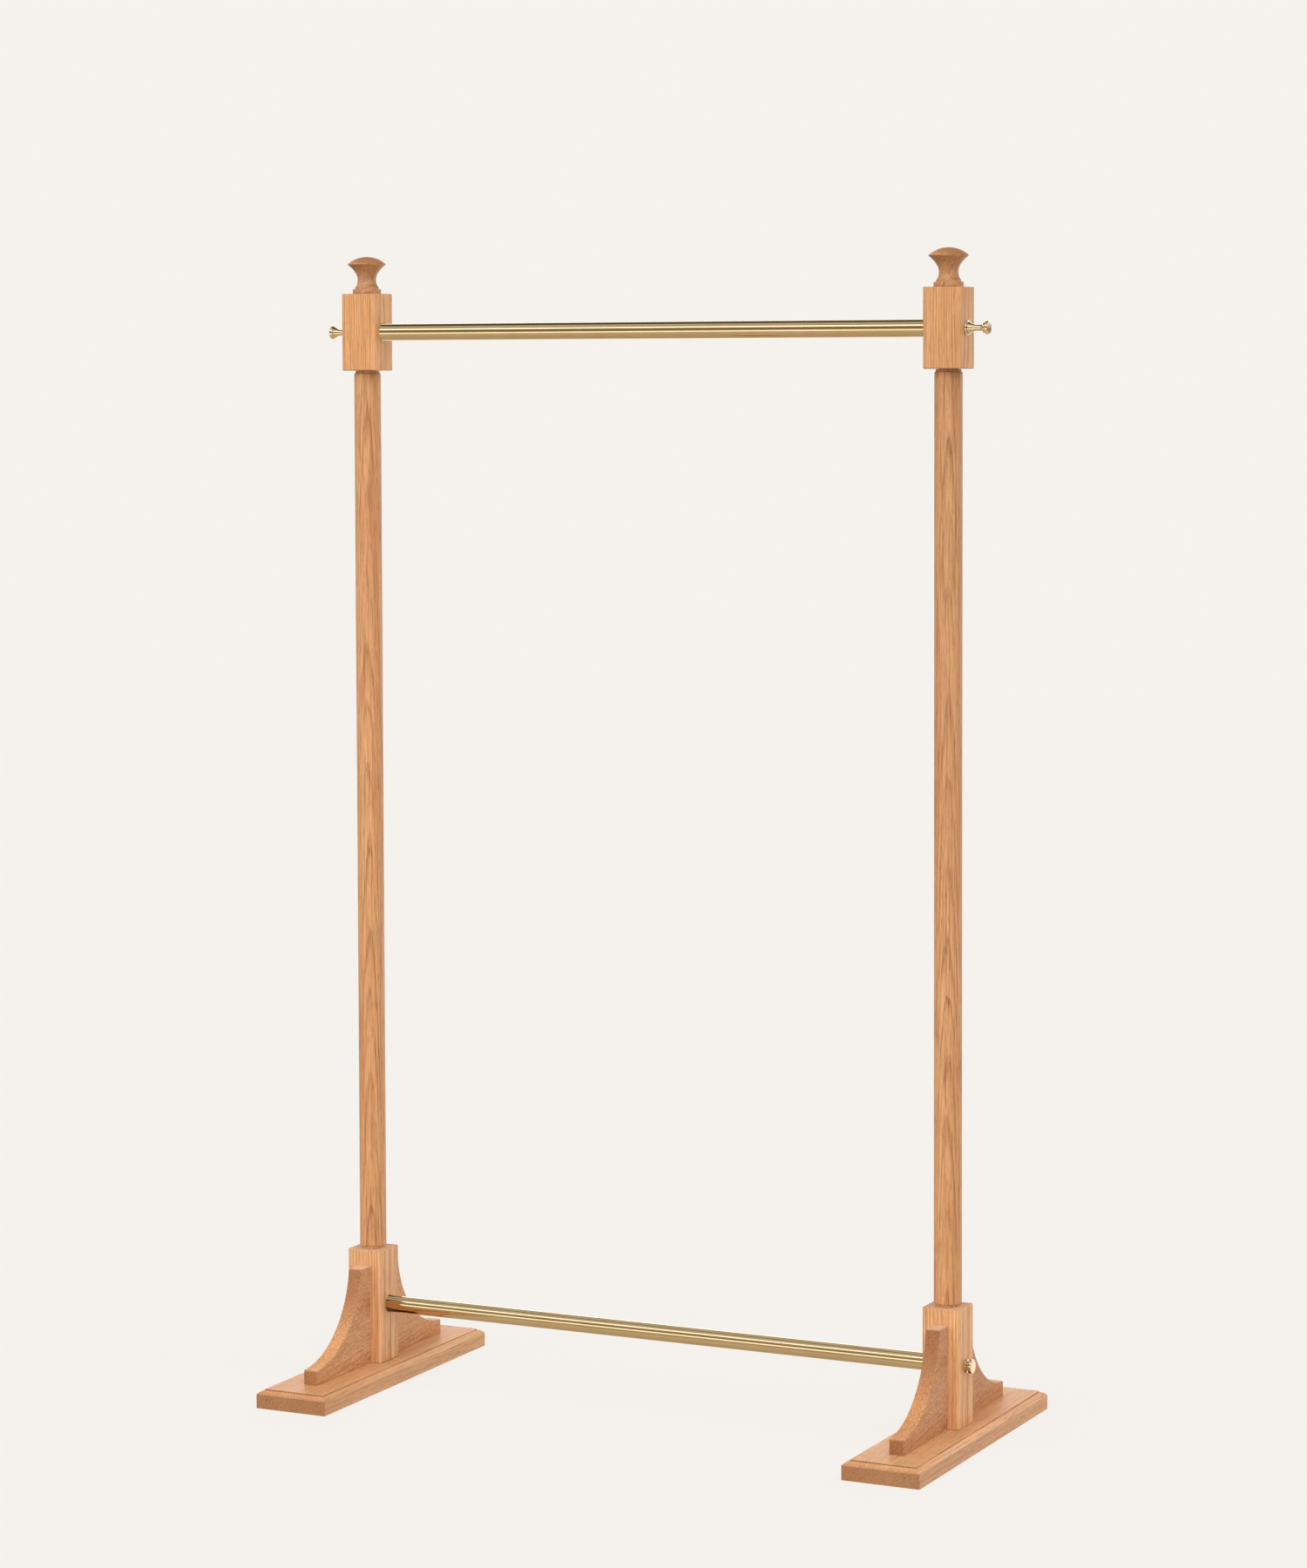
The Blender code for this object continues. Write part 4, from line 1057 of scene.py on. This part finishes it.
def add_lights():
    """Soft suns that light the stand, and the surroundings and cards that the brass mirrors."""
    add_surroundings()
    add_sun("soft_key", azimuth=14, elevation=46, strength=2.05, spread=60)
    add_sun("soft_fill", azimuth=-50, elevation=20, strength=0.55, spread=60)
    add_sun("soft_side", azimuth=95, elevation=55, strength=0.62, spread=22)
    add_card("upper_card", low=(-2.56, 2.94), high=(-1.84, 3.56), colour=(1.95, 2.00, 2.05))
    add_card("lower_card", low=(-3.0, 0.06), high=(-3.0, 0.98), colour=(1.60, 1.54, 1.40))
    add_card("back_card", low=(0.25, 1.46), high=(2.2, 2.05), colour=(0.62, 0.58, 0.52))


def add_camera():
    """The camera at the photograph's viewing angle."""
    sin, cos = math.sin, math.cos
    forward = Vector((
        -sin(CAMERA_AZIMUTH) * cos(CAMERA_PITCH),
        cos(CAMERA_AZIMUTH) * cos(CAMERA_PITCH),
        -sin(CAMERA_PITCH),
    ))
    level = Vector((cos(CAMERA_AZIMUTH), sin(CAMERA_AZIMUTH), 0))
    upright = level.cross(forward)
    right = level * cos(CAMERA_ROLL) + upright * sin(CAMERA_ROLL)
    up = upright * cos(CAMERA_ROLL) - level * sin(CAMERA_ROLL)
    data = bpy.data.cameras.new("camera")
    data.lens = CAMERA_LENS
    data.sensor_width = 36
    data.shift_y = CAMERA_SHIFT
    data.clip_end = 100
    camera = bpy.data.objects.new("camera", data)
    axes = Matrix((right, up, -forward)).transposed().to_4x4()
    camera.matrix_world = Matrix.Translation(CAMERA_PLACE) @ axes
    bpy.context.scene.collection.objects.link(camera)
    bpy.context.scene.camera = camera


def add_pieces():
    """Every piece of the stand. The number of each oak piece gives it its own timber."""
    materials = {
        "brass_satin": brass(
            "brass_satin", tint=(0.72, 0.585, 0.375), smooth=0.06, rough=0.10, drawn=(6, 900, 900)
        ),
        "brass_polished": brass(
            "brass_polished", tint=(0.88, 0.74, 0.54), smooth=0.03, rough=0.06, drawn=(700, 60, 60)
        ),
        "steel": steel("steel"),
        "beech": beech("beech"),
    }
    for index, (side, sign) in enumerate(SIDES.items()):
        first = index * 10
        add_base_plate(side, first + 1)
        add_block("lower", side, sign, first + 2)
        add_bracket(side, "front", first + 3)
        add_bracket(side, "back", first + 4)
        add_pole(side, first + 5)
        add_block("upper", side, sign, first + 6)
        add_finial(side, first + 7)
        for level in LEVELS:
            add_knob(level, side, sign, materials)
    for level in LEVELS:
        add_rail(level, materials["brass_satin"])
    finish_hidden_nodes(materials)


add_camera()
add_pieces()
add_room()
add_lights()
bpy.context.scene.view_settings.view_transform = "Standard"
